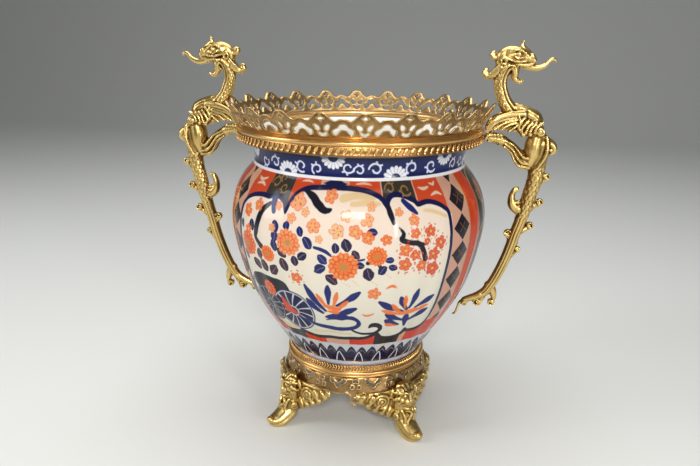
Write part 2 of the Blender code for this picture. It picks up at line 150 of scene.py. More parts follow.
class Finish:
    """A material whose colour is built up in layers."""

    def __init__(self, name):
        self.material = bpy.data.materials.new(name)
        self.material.use_nodes = True
        self.tree = self.material.node_tree
        self.shader = self.tree.nodes["Principled BSDF"]
        self.place = self.tree.nodes.new("ShaderNodeTexCoord").outputs["Object"]
        self.colour = None

    def attribute(self, name, output="Fac"):
        node = self.tree.nodes.new("ShaderNodeAttribute")
        node.attribute_name = name
        return Wire(self.tree, node.outputs[output])

    def parts(self, vector):
        node = self.tree.nodes.new("ShaderNodeSeparateXYZ")
        self.tree.links.new(vector.socket, node.inputs[0])
        return [Wire(self.tree, socket) for socket in node.outputs]

    def noise(self, scale, detail=3.0, roughness=0.5):
        node = self.tree.nodes.new("ShaderNodeTexNoise")
        self.tree.links.new(self.place, node.inputs["Vector"])
        node.inputs["Scale"].default_value = scale
        node.inputs["Detail"].default_value = detail
        node.inputs["Roughness"].default_value = roughness
        return Wire(self.tree, node.outputs["Fac"])

    def ramp(self, value, *stops):
        """Colour along a value: stops are (place, colour)."""
        node = self.tree.nodes.new("ShaderNodeValToRGB")
        plug(self.tree, value, node.inputs[0])
        band = node.color_ramp
        band.elements[0].position, band.elements[-1].position = stops[0][0], stops[-1][0]
        for place, colour in stops[1:-1]:
            band.elements.new(place)
        for element, (place, colour) in zip(band.elements, stops):
            element.position = place
            element.color = (*colour, 1.0)
        return Wire(self.tree, node.outputs["Color"])

    def layer(self, under, over, mask):
        """Colour `over` laid on colour `under` where the mask is 1."""
        node = self.tree.nodes.new("ShaderNodeMix")
        node.data_type = "RGBA"
        plug(self.tree, mask, node.inputs[0])
        plug(self.tree, under, node.inputs[6])
        plug(self.tree, over, node.inputs[7])
        return Wire(self.tree, node.outputs[2])

    def lay(self, over, mask):
        """Lay a colour on all that is painted so far."""
        self.colour = self.layer(self.colour, over, mask)

    def bump(self, height, strength, distance):
        node = self.tree.nodes.new("ShaderNodeBump")
        node.inputs["Strength"].default_value = strength
        node.inputs["Distance"].default_value = distance
        plug(self.tree, height, node.inputs["Height"])
        self.tree.links.new(node.outputs["Normal"], self.shader.inputs["Normal"])

    def set(self, **values):
        """Set the shader's own sockets, named in small letters, and give back the finished material."""
        for name, value in values.items():
            plug(self.tree, value, self.shader.inputs[name.replace("_", " ").title().replace("Ior", "IOR")])
        return self.material


def gilt(name, bright, middle, deep, rough, wear):
    """Gilt bronze: painted highlight on what stands proud and painted shade in the hollows, both read from
    the relief, with worn and stained patches.
    """
    finish = Finish(name)
    hollow = finish.attribute("relief")
    cloud = finish.noise(38.0, 4.0, 0.6)
    grain = finish.noise(900.0, 3.0, 0.6)
    # The tone is painted shade in the hollows and painted highlight on the ridges, from the relief, with real
    # wear from the broad noise and grain from the fine noise.
    tone = hollow + (cloud - 0.5) * wear + (grain - 0.5) * 0.12
    ridge_highlight = tuple(part * 1.08 for part in bright)
    colour = finish.ramp(tone, (0.12, deep), (0.42, middle), (0.62, bright), (0.92, ridge_highlight))
    rough_value = (1.0 - tone) * 0.22 + (cloud * 0.10 + rough - 0.10)
    finish.bump(finish.noise(420.0, 4.0, 0.65) + grain * 0.4, 0.16, 0.0006)
    return finish.set(base_color=colour, metallic=1.0, roughness=rough_value)


# Meshes

FRONT = (0, -1, 0)
RIGHT = (1, 0, 0)
UP = (0, 0, 1)


def smooth_curve(points, steps, closed=False):
    """Points on a smooth curve through the given ones; every column is carried along."""
    rows = np.array(points, float)
    count = len(rows)
    spans = count if closed else count - 1
    result = []
    for span in range(spans):
        if closed:
            before, start, end, after = (rows[(span + k) % count] for k in (-1, 0, 1, 2))
        else:
            before, start, end, after = (rows[min(max(span + k, 0), count - 1)] for k in (-1, 0, 1, 2))
        for step in range(steps):
            t = step / steps
            result.append(0.5 * (2 * start + (end - before) * t + (2 * before - 5 * start + 4 * end - after)
                                 * t * t + (3 * start - before - 3 * end + after) * t ** 3))
    if not closed:
        result.append(rows[-1])
    return np.array(result)


class Shape:
    """Closed bodies gathered for one mesh, in millimetres."""

    def __init__(self):
        self.points = []
        self.faces = []

    def add(self, points, faces):
        base = len(self.points)
        self.points.extend(tuple(point) for point in points)
        self.faces.extend(tuple(base + corner for corner in face) for face in faces)

    def sweep(self, path, sides=12, hint=(0, 1, 0), steps=5, closed=False):
        """A body along (x, y, z, half width, half width along the hint), with rounded ends."""
        rows = smooth_curve(path, steps, closed)
        centres = rows[:, :3]
        if closed:
            along = np.roll(centres, -1, 0) - np.roll(centres, 1, 0)
        else:
            along = np.gradient(centres, axis=0)
        along /= np.linalg.norm(along, axis=1)[:, None]
        broad = np.array(hint, float) - along * (along @ np.array(hint, float))[:, None]
        broad /= np.linalg.norm(broad, axis=1)[:, None]
        across = np.cross(broad, along)
        turn = np.arange(sides) * TAU / sides
        rings = [centre + a * half * np.cos(turn)[:, None] + b * wide * np.sin(turn)[:, None]
                 for centre, a, b, half, wide in zip(centres, across, broad, rows[:, 3], rows[:, 4])]
        if not closed:
            for end, sign in ((0, -1), (-1, 1)):
                reach = min(rows[end, 3], rows[end, 4])
                cap = []
                for lean in (0.45, 0.8, 0.97):
                    shrink = math.sqrt(1 - lean * lean)
                    centre = centres[end] + along[end] * sign * lean * reach
                    cap.append(centre + (rings[end] - centres[end]) * shrink)
                rings = cap[::-1] + rings if end == 0 else rings + cap
        count = len(rings)
        faces = []
        for ring in range(count if closed else count - 1):
            low, high = ring * sides, (ring + 1) % count * sides
            for side in range(sides):
                after = (side + 1) % sides
                faces.append((low + side, low + after, high + after, high + side))
        if not closed:
            faces.append(tuple(reversed(range(sides))))
            faces.append(tuple((count - 1) * sides + side for side in range(sides)))
        self.add(np.concatenate(rings), faces)

    def ball(self, centre, radii, rings=8, sides=12):
        """A rounded body, with its own radius along each axis."""
        points = [(0, 0, -1)]
        for ring in range(1, rings):
            lean = math.pi * ring / rings
            points += [(math.sin(lean) * math.cos(side * TAU / sides), math.sin(lean)
                        * math.sin(side * TAU / sides), -math.cos(lean)) for side in range(sides)]
        points.append((0, 0, 1))
        top = len(points) - 1
        faces = []
        for side in range(sides):
            after = (side + 1) % sides
            faces.append((0, 1 + after, 1 + side))
            for ring in range(rings - 2):
                low, high = 1 + ring * sides, 1 + (ring + 1) * sides
                faces.append((low + side, low + after, high + after, high + side))
            faces.append((top, 1 + (rings - 2) * sides + side, 1 + (rings - 2) * sides + after))
        self.add(np.array(points) * np.array(radii) + np.array(centre), faces)

    def mesh(self, name):
        mesh = bpy.data.meshes.new(name)
        mesh.from_pydata([tuple(c * MM for c in point) for point in self.points], [], self.faces)
        mesh.validate()
        return mesh


def piece_from(mesh, name):
    """An object at the origin with this mesh."""
    piece = bpy.data.objects.new(name, mesh)
    bpy.context.scene.collection.objects.link(piece)
    return piece


def settled(piece):
    """The piece's mesh with its modifiers applied; the piece itself is removed."""
    depsgraph = bpy.context.evaluated_depsgraph_get()
    mesh = bpy.data.meshes.new_from_object(piece.evaluated_get(depsgraph), preserve_all_data_layers=True,
                                           depsgraph=depsgraph)
    piece.modifiers.clear()
    bpy.data.objects.remove(piece)
    return mesh


def add_skin(piece, voxel):
    """A modifier that fuses all bodies of a piece into one closed skin."""
    skin = piece.modifiers.new("skin", "REMESH")
    skin.mode = "VOXEL"
    skin.voxel_size = voxel * MM


def fused(shape, name, voxel):
    """One closed skin over all bodies of a shape."""
    raw = piece_from(shape.mesh(name + "_raw"), name + "_raw")
    add_skin(raw, voxel)
    mesh = settled(raw)
    mesh.name = name
    return mesh


def thinned(mesh, share):
    """The mesh with that share of its faces, taken mostly from its even stretches."""
    raw = piece_from(mesh, "thinning")
    raw.modifiers.new("thin", "DECIMATE").ratio = share
    return settled(raw)


def positions(mesh):
    """Vertex positions in millimetres."""
    flat = np.empty(len(mesh.vertices) * 3)
    mesh.vertices.foreach_get("co", flat)
    return flat.reshape(-1, 3) / MM


def normals(mesh):
    flat = np.empty(len(mesh.vertices) * 3, np.float32)
    mesh.vertex_normals.foreach_get("vector", flat)
    return flat.reshape(-1, 3).astype(float)


def move_points(mesh, points):
    mesh.vertices.foreach_set("co", (points * MM).astype(np.float32).ravel())
    mesh.update()


def edges_of(mesh):
    pairs = np.empty(len(mesh.edges) * 2, np.int32)
    mesh.edges.foreach_get("vertices", pairs)
    return pairs.reshape(-1, 2)


def neighbour_mean(values, pairs, rounds):
    """Values averaged with those of the neighbouring vertices, several times."""
    count = np.bincount(pairs.ravel(), minlength=len(values)).astype(float)[:, None]
    for _ in range(rounds):
        total = np.zeros_like(values)
        for column in range(values.shape[1]):
            total[:, column] = (np.bincount(pairs[:, 0], values[pairs[:, 1], column], len(values))
                                + np.bincount(pairs[:, 1], values[pairs[:, 0], column], len(values)))
        values = 0.5 * values + 0.5 * total / np.maximum(count, 1)
    return values


def store(mesh, name, values):
    """Keep a number, or a row of three, for each vertex."""
    kind = "FLOAT" if values.ndim == 1 else "FLOAT_VECTOR"
    attribute = mesh.attributes.new(name, kind, "POINT")
    field = "value" if values.ndim == 1 else "vector"
    attribute.data.foreach_set(field, values.astype(np.float32).ravel())


RELIEF_ROUNDS = 3


def shade_relief(mesh, strength):
    """Store how proud each point stands of the surface round it: 0 in a hollow, 1 on a ridge; the gilt turns
    it into painted shade and painted highlight.
    """
    points = positions(mesh)
    pairs = edges_of(mesh)
    facing = normals(mesh)
    level = neighbour_mean(points, pairs, RELIEF_ROUNDS)
    proud = ((points - level) * facing).sum(1)
    level = neighbour_mean(level, pairs, 4 * RELIEF_ROUNDS)
    proud = proud + 0.6 * ((points - level) * facing).sum(1)
    store(mesh, "relief", np.clip(0.5 + strength * proud, 0.0, 1.0))


def finish_piece(mesh, name, material, slot, *nodes):
    """Put a finished mesh in the scene as a piece that stands for the given nodes."""
    mesh.materials.clear()
    mesh.materials.append(material)
    mesh.polygons.foreach_set("use_smooth", np.ones(len(mesh.polygons), bool))
    piece = piece_from(mesh, name)
    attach(piece, "root")
    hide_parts(*nodes)


def turned_copy(mesh, name, angle):
    copy = mesh.copy()
    copy.name = name
    copy.transform(Matrix.Rotation(angle, 4, "Z"))
    return copy


# Rings of repeated castings

def ring_tree():
    """Geometry nodes that set one casting many times round the axis and join the copies."""
    tree = bpy.data.node_groups.new("ring of castings", "GeometryNodeTree")
    tree.interface.new_socket("Geometry", in_out="OUTPUT", socket_type="NodeSocketGeometry")
    for name, kind in (("Unit", "Object"), ("Count", "Int"), ("First turn", "Float"),
                       ("Material", "Material")):
        tree.interface.new_socket(name, in_out="INPUT", socket_type="NodeSocket" + kind)
    given, unit, points, index, share, angle, turn, rotation, copies, real, coat, result = (
        tree.nodes.new(kind) for kind in (
            "NodeGroupInput", "GeometryNodeObjectInfo", "GeometryNodePoints", "GeometryNodeInputIndex",
            "ShaderNodeMath", "ShaderNodeMath", "ShaderNodeCombineXYZ", "FunctionNodeEulerToRotation",
            "GeometryNodeInstanceOnPoints", "GeometryNodeRealizeInstances", "GeometryNodeSetMaterial",
            "NodeGroupOutput"))
    share.operation = "DIVIDE"
    angle.operation = "MULTIPLY_ADD"
    angle.inputs[1].default_value = TAU
    for start, end in ((given.outputs["Unit"], unit.inputs["Object"]),
                       (given.outputs["Count"], points.inputs["Count"]),
                       (index.outputs[0], share.inputs[0]),
                       (given.outputs["Count"], share.inputs[1]),
                       (share.outputs[0], angle.inputs[0]),
                       (given.outputs["First turn"], angle.inputs[2]),
                       (angle.outputs[0], turn.inputs["Z"]),
                       (turn.outputs[0], rotation.inputs[0]),
                       (points.outputs[0], copies.inputs["Points"]),
                       (unit.outputs["Geometry"], copies.inputs["Instance"]),
                       (rotation.outputs[0], copies.inputs["Rotation"]),
                       (copies.outputs[0], real.inputs[0]),
                       (real.outputs[0], coat.inputs["Geometry"]),
                       (given.outputs["Material"], coat.inputs["Material"]),
                       (coat.outputs[0], result.inputs[0])):
        tree.links.new(start, end)
    return tree


casting_ring = ring_tree()


def ring_of(unit_mesh, count, first_turn, material, voxel=None):
    """The unit repeated round the axis, as one mesh; fused into one skin where a voxel size is given."""
    unit = piece_from(unit_mesh, "unit")
    carrier = piece_from(bpy.data.meshes.new("carrier"), "carrier")
    ring = carrier.modifiers.new("ring", "NODES")
    ring.node_group = casting_ring
    socket = {item.name: item.identifier for item in casting_ring.interface.items_tree
              if item.in_out == "INPUT"}
    for name, value in (("Unit", unit), ("Count", count), ("First turn", first_turn), ("Material", material)):
        ring[socket[name]] = value
    if voxel:
        add_skin(carrier, voxel)
    mesh = settled(carrier)
    bpy.data.objects.remove(unit)
    return mesh


def lathe(shape, outline, segments):
    """Turn a closed outline of (radius, height) around the axis; it runs up the outside."""
    count = len(outline)
    points = []
    for step in range(segments):
        angle = step * TAU / segments
        points += [(radius * math.sin(angle), -radius * math.cos(angle), height)
                   for radius, height in outline]
    faces = []
    for step in range(segments):
        here, there = step * count, (step + 1) % segments * count
        for k in range(count):
            after = (k + 1) % count
            faces.append((here + k, there + k, there + after, here + after))
    shape.add(points, faces)


def on_ring(radius, along, height):
    """A point of a ring's face, at a length along its front and a height."""
    angle = along / radius
    return (radius * math.sin(angle), -radius * math.cos(angle), height)


def mirrored(points):
    """The (along, up) points on the other side of the middle, in reverse order."""
    return [(-along, up) for along, up in reversed(points)]


def pierced_plate(shape, outline, holes, place, thickness, rim):
    """A pierced plate bent by `place`, with a raised rim along its outline and its holes.

    Loops are (along, up) points in millimetres; place(along, up, out) gives the point in space.
    """
    loops = [np.array(outline)] + [smooth_curve(hole, 4, closed=True) for hole in holes]
    flat = bmesh.new()
    for loop in loops:
        corners = [flat.verts.new((along, up, 0)) for along, up in loop]
        for index, corner in enumerate(corners):
            flat.edges.new((corner, corners[(index + 1) % len(corners)]))
    bmesh.ops.triangle_fill(flat, edges=flat.edges[:], use_beauty=True, normal=(0, 0, 1))
    flat.verts.index_update()
    points = [place(vert.co.x, vert.co.y, out) for out in (0.0, -thickness) for vert in flat.verts]
    count = len(flat.verts)
    faces = []
    for face in flat.faces:
        corners = [vert.index for vert in face.verts]
        faces.append(tuple(corners))
        faces.append(tuple(count + corner for corner in reversed(corners)))
    for face in flat.faces:
        corners = [vert.index for vert in face.verts]
        for k, loop in enumerate(face.loops):
            if loop.edge.is_boundary:
                a, b = corners[k], corners[(k + 1) % 3]
                faces.append((b, a, count + a, count + b))
    flat.free()
    shape.add(points, faces)
    for number, loop in enumerate(loops):
        centre = loop.mean(0)
        half = rim * (1.25 if number == 0 else 1.0)
        spread = 0.0 if number == 0 else 0.35 * rim
        path = []
        for along, up in loop:
            away = np.array((along, up)) - centre
            away /= max(np.linalg.norm(away), 1e-6)
            path.append((*place(along + away[0] * spread, up + away[1] * spread, 0.1), half, half))
        if number == 0:
            path = path[2:]
        shape.sweep(path, 6, UP, 1, closed=number > 0)


GALLERY_UNITS = 22
GALLERY_TURN = math.radians(10.4)
GALLERY_WALL = 2.0
GALLERY_VOXEL = 0.6
GALLERY_FACE_SHARE = 0.5
gallery_foot_radius = band_radius - 2.7
gallery_flare = gallery_tip_radius - gallery_foot_radius
gallery_height = gallery_top - gallery_low


def gallery_mesh(material):
    """Tall crests with a star, two leaning slots and a cup, between low crests over a three-lobed arch."""
    half_unit = math.pi * (gallery_foot_radius + gallery_flare / 2) / GALLERY_UNITS
    crest = [(-half_unit - 0.3, 17.7), (-16.2, 17.3), (-14, 16.3), (-12, 15.7), (-9.6, 16.9), (-7.3, 19.2),
             (-5, 21.7), (-2.6, 22.8), (0, gallery_height - 0.5)]
    crest += mirrored(crest[:-1])
    star = []
    for step in range(16):
        reach = 3.1 if step % 4 == 0 else (1.2 if step % 4 == 2 else 2.2)
        star.append((reach * math.sin(step * TAU / 16), 18.4 + reach * math.cos(step * TAU / 16)))
    slot = [(2.0, 8.2), (4.6, 7.4), (6.4, 9.2), (7.2, 12.2), (5.6, 12.9), (3.4, 11.8), (2.3, 10.2)]
    cup = [(-4.2, 5.8), (-3.6, 3.2), (0, 1.9), (3.6, 3.2), (4.2, 5.8), (2.6, 6.2), (0, 4.9), (-2.6, 6.2)]
    lobes = [(-9.4, 4.2), (-9.6, 7.4), (-7.0, 9.0), (-4.4, 10.4), (-2.8, 12.6), (0, 13.4), (2.8, 12.6),
             (4.4, 10.4), (7.0, 9.0), (9.6, 7.4), (9.4, 4.2), (6.6, 3.0), (4.4, 5.0), (2.6, 7.2), (0, 8.0),
             (-2.6, 7.2), (-4.4, 5.0), (-6.6, 3.0)]
    arch = [(along + half_unit, up) for along, up in lobes]

    def place(along, up, out):
        share = up / gallery_height
        angle = along / (half_unit * GALLERY_UNITS / math.pi)
        radius = gallery_foot_radius + gallery_flare * share + out - 0.9
        return (radius * math.sin(angle), -radius * math.cos(angle), gallery_low + up + 0.1)

    shape = Shape()
    shift = 0.26 * 2 * half_unit
    rise = [tuple(point) for point in smooth_curve(crest, 3)]
    edge = [(along, up) for along, up in rise if along > -shift - 0.4]
    edge += [(along + 2 * half_unit, up) for along, up in rise
             if half_unit + 0.6 < along + 2 * half_unit < 2 * half_unit - shift + 0.4]
    outline = [(-shift - 0.4, 0.0), (2 * half_unit - shift + 0.4, 0.0)] + edge[::-1]
    pierced_plate(shape, outline, [star, slot, mirrored(slot), cup, arch], place, GALLERY_WALL, 0.62)
    unit = shape.mesh("gallery_unit")
    return ring_of(unit, GALLERY_UNITS, GALLERY_TURN, material, GALLERY_VOXEL)


RIM_LEAVES = 120


def rim_band_mesh(material):
    """A torus over a groove and a row of slanted leaves with a pearl at each root."""
    high = rim_high - rim_low
    inner = 118.0
    plate = rim_high - 5.2
    outline = [(inner, rim_low), (band_radius - 2.4, rim_low), (band_radius - 1.2, rim_low + 0.7),
               (band_radius - 2.0, rim_low + 1.6), (band_radius - 1.4, rim_low + 0.30 * high),
               (band_radius - 2.2, rim_low + 0.50 * high), (band_radius - 2.6, rim_low + 0.55 * high)]
    for step in range(9):
        lean = math.pi * (step / 8 - 0.5)
        outline.append((band_radius - 2.9 + 2.7 * math.cos(lean), rim_low + (0.755 + 0.17 * math.sin(lean))
                        * high))
    outline += [(band_radius - 3.6, rim_high - 0.6), (band_radius - 4.0, rim_high), (113.3, rim_high),
                (113.0, rim_high - 0.4), (113.0, plate), (inner, plate)]
    plain = Shape()
    lathe(plain, outline, 240)
    mesh = plain.mesh("rim_band_plain")
    points = positions(mesh)
    radius = np.hypot(points[:, 0], points[:, 1])
    row = (points[:, 2] < rim_low + 0.54 * high) & (radius > band_radius - 4)
    # Painted shade: the face behind the row of leaves is stored as a hollow, darker than the rest of the
    # band.
    store(mesh, "relief", np.where(row, 0.34, 0.66))
    leaf = Shape()
    low = rim_low
    leaf.ball(on_ring(band_radius - 1.1, -1.3, low + 2.4), (1.6, 1.2, 1.5), 6, 8)
    path = [(-1.0, 3.4, 1.2), (0.1, 4.8, 1.7), (1.0, 6.1, 1.5), (1.8, 7.4, 0.9)]
    leaf.sweep([(*on_ring(band_radius - 1.5, along, low + up), half, 0.9) for along, up, half in path],
               8, FRONT, 2)
    leaf.ball(on_ring(band_radius - 1.7, -0.6, low + 7.1), (0.85, 0.7, 0.75), 4, 6)
    unit = leaf.mesh("rim_leaf")
    unit_points = positions(unit)
    # Painted highlight and shade: each leaf is lighter the further out it stands, darker at its root.
    store(unit, "relief", np.clip((np.hypot(unit_points[:, 0], unit_points[:, 1]) - band_radius + 2.2)
                                  / 2.2, 0, 0.95))
    leaves = ring_of(unit, RIM_LEAVES, 0.0, material)
    return joined("rim_band_mesh", mesh, leaves)


def joined(name, *meshes):
    """Several meshes as one, with their relief."""
    points = []
    faces = []
    relief = []
    for mesh in meshes:
        base = len(points)
        points += [tuple(vert.co) for vert in mesh.vertices]
        faces += [tuple(base + corner for corner in face.vertices) for face in mesh.polygons]
        values = np.empty(len(mesh.vertices), np.float32)
        mesh.attributes["relief"].data.foreach_get("value", values)
        relief.append(values)
    whole = bpy.data.meshes.new(name)
    whole.from_pydata(points, [], faces)
    store(whole, "relief", np.concatenate(relief))
    return whole


BASE_PEARLS = 150


def base_band_mesh(material):
    """A row of slanted pearls over a torus and a thin moulding."""
    wide = base_radius
    high = base_high - base_low
    seat_edge = seat_radius()
    outline = [(seat_edge, base_low), (wide - 1.6, base_low), (wide - 1.0, base_low + 0.5),
               (wide - 1.2, base_low + 1.3), (wide - 2.0, base_low + 1.7)]
    for step in range(7):
        lean = math.pi * (step / 6 - 0.5)
        outline.append((wide - 2.2 + 2.1 * math.cos(lean), base_low + 4.1 + 2.2 * math.sin(lean)))
    outline += [(wide - 2.6, base_low + 0.53 * high), (wide - 2.9, base_high - 0.9),
                (wide - 3.5, base_high - 0.1), (wide - 4.6, base_high - 0.1), (72.0, base_low + 4.2),
                (72.0, base_low + 2.9), (seat_edge, base_low + 2.9)]
    plain = Shape()
    lathe(plain, outline, 200)
    mesh = plain.mesh("base_band_plain")
    points = positions(mesh)
    radius = np.hypot(points[:, 0], points[:, 1])
    row = (points[:, 2] > base_low + 0.52 * high) & (radius > wide - 4)
    # Painted shade: the face behind the row of pearls is stored as a hollow, darker than the rest of the
    # band.
    store(mesh, "relief", np.where(row, 0.3, 0.62))
    pearl = Shape()
    row_radius = wide - 2.6
    pearl.sweep([(*on_ring(row_radius, -1.0, base_low + 7.2), 0.75, 0.8),
                 (*on_ring(row_radius, 0.5, base_low + 9.3), 0.8, 0.8)], 6, FRONT, 2)
    pearl.sweep([(*on_ring(row_radius - 0.3, 0.7, base_low + 10.0), 0.7, 0.8),
                 (*on_ring(row_radius - 0.3, -0.7, base_low + 12.0), 0.6, 0.7)], 6, FRONT, 2)
    unit = pearl.mesh("base_pearl")
    unit_points = positions(unit)
    # Painted highlight and shade: each pearl is lighter the further out it stands, darker at its root.
    store(unit, "relief", np.clip((np.hypot(unit_points[:, 0], unit_points[:, 1]) - row_radius + 0.8) / 1.7,
                                  0, 0.9))
    pearls = ring_of(unit, BASE_PEARLS, 0.0, material)
    return joined("base_band_mesh", mesh, pearls)


def seat_radius():
    """Inner edge of the ledge that the jar stands on."""
    return min(math.hypot(vert.co.x, vert.co.y)
               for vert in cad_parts["base_band"].data.vertices) / MM + 0.3


SKIRT_UNITS = 13
SKIRT_TURN = math.radians(-5.0)
SKIRT_DROP = 17.5
SKIRT_FLARE = 4.5
SKIRT_WALL = 1.8
SKIRT_VOXEL = 0.55
SKIRT_FACE_SHARE = 0.6
PENDANT_UNITS = (0, 3, 6, 10)
skirt_top_radius = skirt_radius - SKIRT_FLARE


def skirt_mesh():
    """Wavy skirt pierced by moustaches and by groups of three, with a ring pendant on four of its units."""
    unit_width = TAU * skirt_radius / SKIRT_UNITS

    def place(along, down, out):
        angle = along * TAU / SKIRT_UNITS / unit_width
        radius = skirt_top_radius + SKIRT_FLARE * min(down / SKIRT_DROP, 1.0) + out - 0.7
        return (radius * math.sin(angle), -radius * math.cos(angle), skirt_top - 0.1 - down)

    moustache = [(-8.4, 2.4), (-6.0, 1.8), (-4.4, 3.6), (-2.2, 5.4), (0, 6.2), (2.2, 5.4), (4.4, 3.6),
                 (6.0, 1.8), (8.4, 2.4), (8.8, 5.0), (6.6, 6.6), (4.0, 7.2), (2.4, 9.6), (0, 11.2),
                 (-2.4, 9.6), (-4.0, 7.2), (-6.6, 6.6), (-8.8, 5.0)]
    middle = unit_width / 2
    cap = [(middle - 3.0, 5.4), (middle - 2.4, 3.0), (middle, 1.9), (middle + 2.4, 3.0), (middle + 3.0, 5.4),
           (middle + 1.2, 5.8), (middle, 4.6), (middle - 1.2, 5.8)]
    square = [(-5.2, 8.6), (-2.6, 8.4), (-2.2, 11.4), (-5.0, 11.8)]
    squares = [[(middle + along, down) for along, down in loop] for loop in (square, mirrored(square))]
    shift = 0.26 * unit_width

    def edge(pendant):
        wave = [(-shift - 0.3, 15.9), (-shift / 2, 16.7), (0, 17.2), (shift / 2, 16.7), (shift, 15.9)]
        if pendant:
            wave += [(middle - 5.6, 18.2), (middle - 4.6, 21.4), (middle - 4.8, 24.6), (middle - 3.0, 28.0),
                     (middle, 29.8), (middle + 3.0, 28.0), (middle + 4.8, 24.6), (middle + 4.6, 21.4),
                     (middle + 5.6, 18.2)]
        else:
            wave += [(middle - 4, 16.6), (middle, 17.2), (middle + 4, 16.6)]
        wave += [(unit_width - shift + 0.3, 15.9)]
        return [tuple(point) for point in smooth_curve(wave, 3)]

    whole = Shape()
    for number in range(SKIRT_UNITS):
        pendant = number in PENDANT_UNITS
        outline = [(unit_width - shift + 0.3, 0.0), (-shift - 0.3, 0.0)] + edge(pendant)
        holes = [moustache, cap, *squares]
        if pendant:
            holes.append([(middle + 2.7 * math.sin(step * TAU / 8), 24.2 + 2.7 * math.cos(step * TAU / 8))
                          for step in range(8)])
        unit = Shape()
        pierced_plate(unit, outline, holes, place, SKIRT_WALL, 0.6)
        angle = SKIRT_TURN + number * TAU / SKIRT_UNITS
        turn = np.array(Matrix.Rotation(angle, 3, "Z"))
        whole.add(np.array(unit.points) @ turn.T, unit.faces)
    return fused(whole, "skirt", SKIRT_VOXEL)


# Dragon handles, in millimetres out from the band's outer face, to the side, and up from its middle

class Track:
    """The middle line of a form, to find how far along it and round it a point lies."""

    def __init__(self, path, steps=8):
        rows = smooth_curve(path, steps)
        self.points = rows[:, :3]
        lengths = np.linalg.norm(np.diff(self.points, axis=0), axis=1)
        self.along = np.concatenate([[0.0], np.cumsum(lengths)])
        self.half = rows[:, 3:5]
        self.tree = kdtree.KDTree(len(rows))
        for index, point in enumerate(self.points):
            self.tree.insert(Vector(point), index)
        self.tree.balance()

    def read(self, points):
        """For each point: the length along, the angle round the line, and how far out it lies as a share."""
        index = np.array([self.tree.find(Vector(point))[1] for point in points])
        direction = np.gradient(self.points, axis=0)[index]
        direction /= np.linalg.norm(direction, axis=1)[:, None]
        offset = points - self.points[index]
        along = self.along[index] + (offset * direction).sum(1)
        offset = offset - direction * (offset * direction).sum(1)[:, None]
        across = np.cross(np.array((0.0, 1.0, 0.0)), direction)
        across /= np.linalg.norm(across, axis=1)[:, None]
        inward = (offset * across).sum(1)
        side = offset[:, 1]
        angle = np.arctan2(side / self.half[index, 1], inward / self.half[index, 0])
        out = np.hypot(side / self.half[index, 1], inward / self.half[index, 0])
        return along, angle, out, index / (len(self.points) - 1)


def plane_path(*rows):
    """Rows of (out, up, half thickness, half depth) in the handle's middle plane."""
    return [(out, 0.0, up, half, depth) for out, up, half, depth in rows]


DRAGON_VOXEL = 0.72
VOLUTE_CORE = 0.45
NECK = plane_path((26, 20, 8, 8), (21.5, 27, 7.6, 7.2), (17.2, 33.4, 6.8, 6.2), (14.3, 40, 6.6, 5.6),
                  (12.1, 47, 6.2, 5.3), (11.5, 54, 6.3, 5.3), (12.9, 61, 6.4, 5.4), (16.5, 68, 6.4, 5.6),
                  (21, 74, 6, 5))
TAIL = plane_path((58, -8, 8.4, 7.6), (55.4, -28, 8.4, 7.4), (53.4, -46, 7.7, 7), (49.5, -62, 7.2, 6.6),
                  (46.2, -77, 6.8, 6.4), (42.8, -90, 6.3, 6.2), (39, -103, 6, 6), (35.6, -117, 5.8, 5.6),
                  (31, -132, 5.6, 5.4), (25.4, -147, 5.5, 5.2), (19.4, -160, 5.4, 5), (13, -170, 5.2, 4.8),
                  (5, -176, 4.5, 4.4), (-3, -179.4, 3.8, 3.8), (-9, -181.6, 3.1, 3.0))
ARM = plane_path((49, -24.5, 8, 6.8), (41, -24, 8.2, 6.6), (35, -19.4, 6.6, 5.8), (29.4, -12.6, 5.0, 5.2),
                 (23, -8, 4.9, 5.2), (15.6, -5.4, 5.7, 5.6))


def spiral(size, shrink, start, turn, count):
    """Points (along, up) of a scroll that winds inwards, each nearer the middle by a share of the size."""
    reaches = [size * (1 - shrink * step) for step in range(count)]
    angles = [start + turn * step for step in range(count)]
    return [(reach * math.cos(angle), reach * math.sin(angle)) for reach, angle in zip(reaches, angles)]


def limb(shape, sides, *rows):
    """A form in the handle's middle plane, along rows of (out, up, half thickness, half depth)."""
    shape.sweep(plane_path(*rows), sides)


def strand(shape, side, sides, *rows):
    """A form on one side of that plane, along rows of (out, across, up, half thickness, half depth)."""
    shape.sweep([(out, side * across, up, half, depth) for out, across, up, half, depth in rows], sides)


def volute(shape, centre, size, start, turns, thick, depth):
    """A rolled scroll in the handle's plane: it starts on its rim at the angle `start` and winds inwards."""
    out, up = centre
    count = max(6, int(abs(turns) * 9))
    coil = spiral(size, (1 - VOLUTE_CORE) / count, start, turns * TAU / count, count + 1)
    shape.sweep([(out + along, 0.0, up + rise, thick * (1 - 0.35 * step / count),
                  depth * (1 + 0.12 * step / count)) for step, (along, rise) in enumerate(coil)], 10,
                steps=2)
    shape.ball((out, 0.0, up), (size, depth * 0.5, size), 8, 14)
    shape.ball((out, 0.0, up), (size * 0.36, depth * 1.1, size * 0.36), 6, 10)


def head_forms(shape):
    skull_and_mouth(shape)
    for side in (-1, 1):
        face_side(shape, side)
    ear_and_mane(shape)


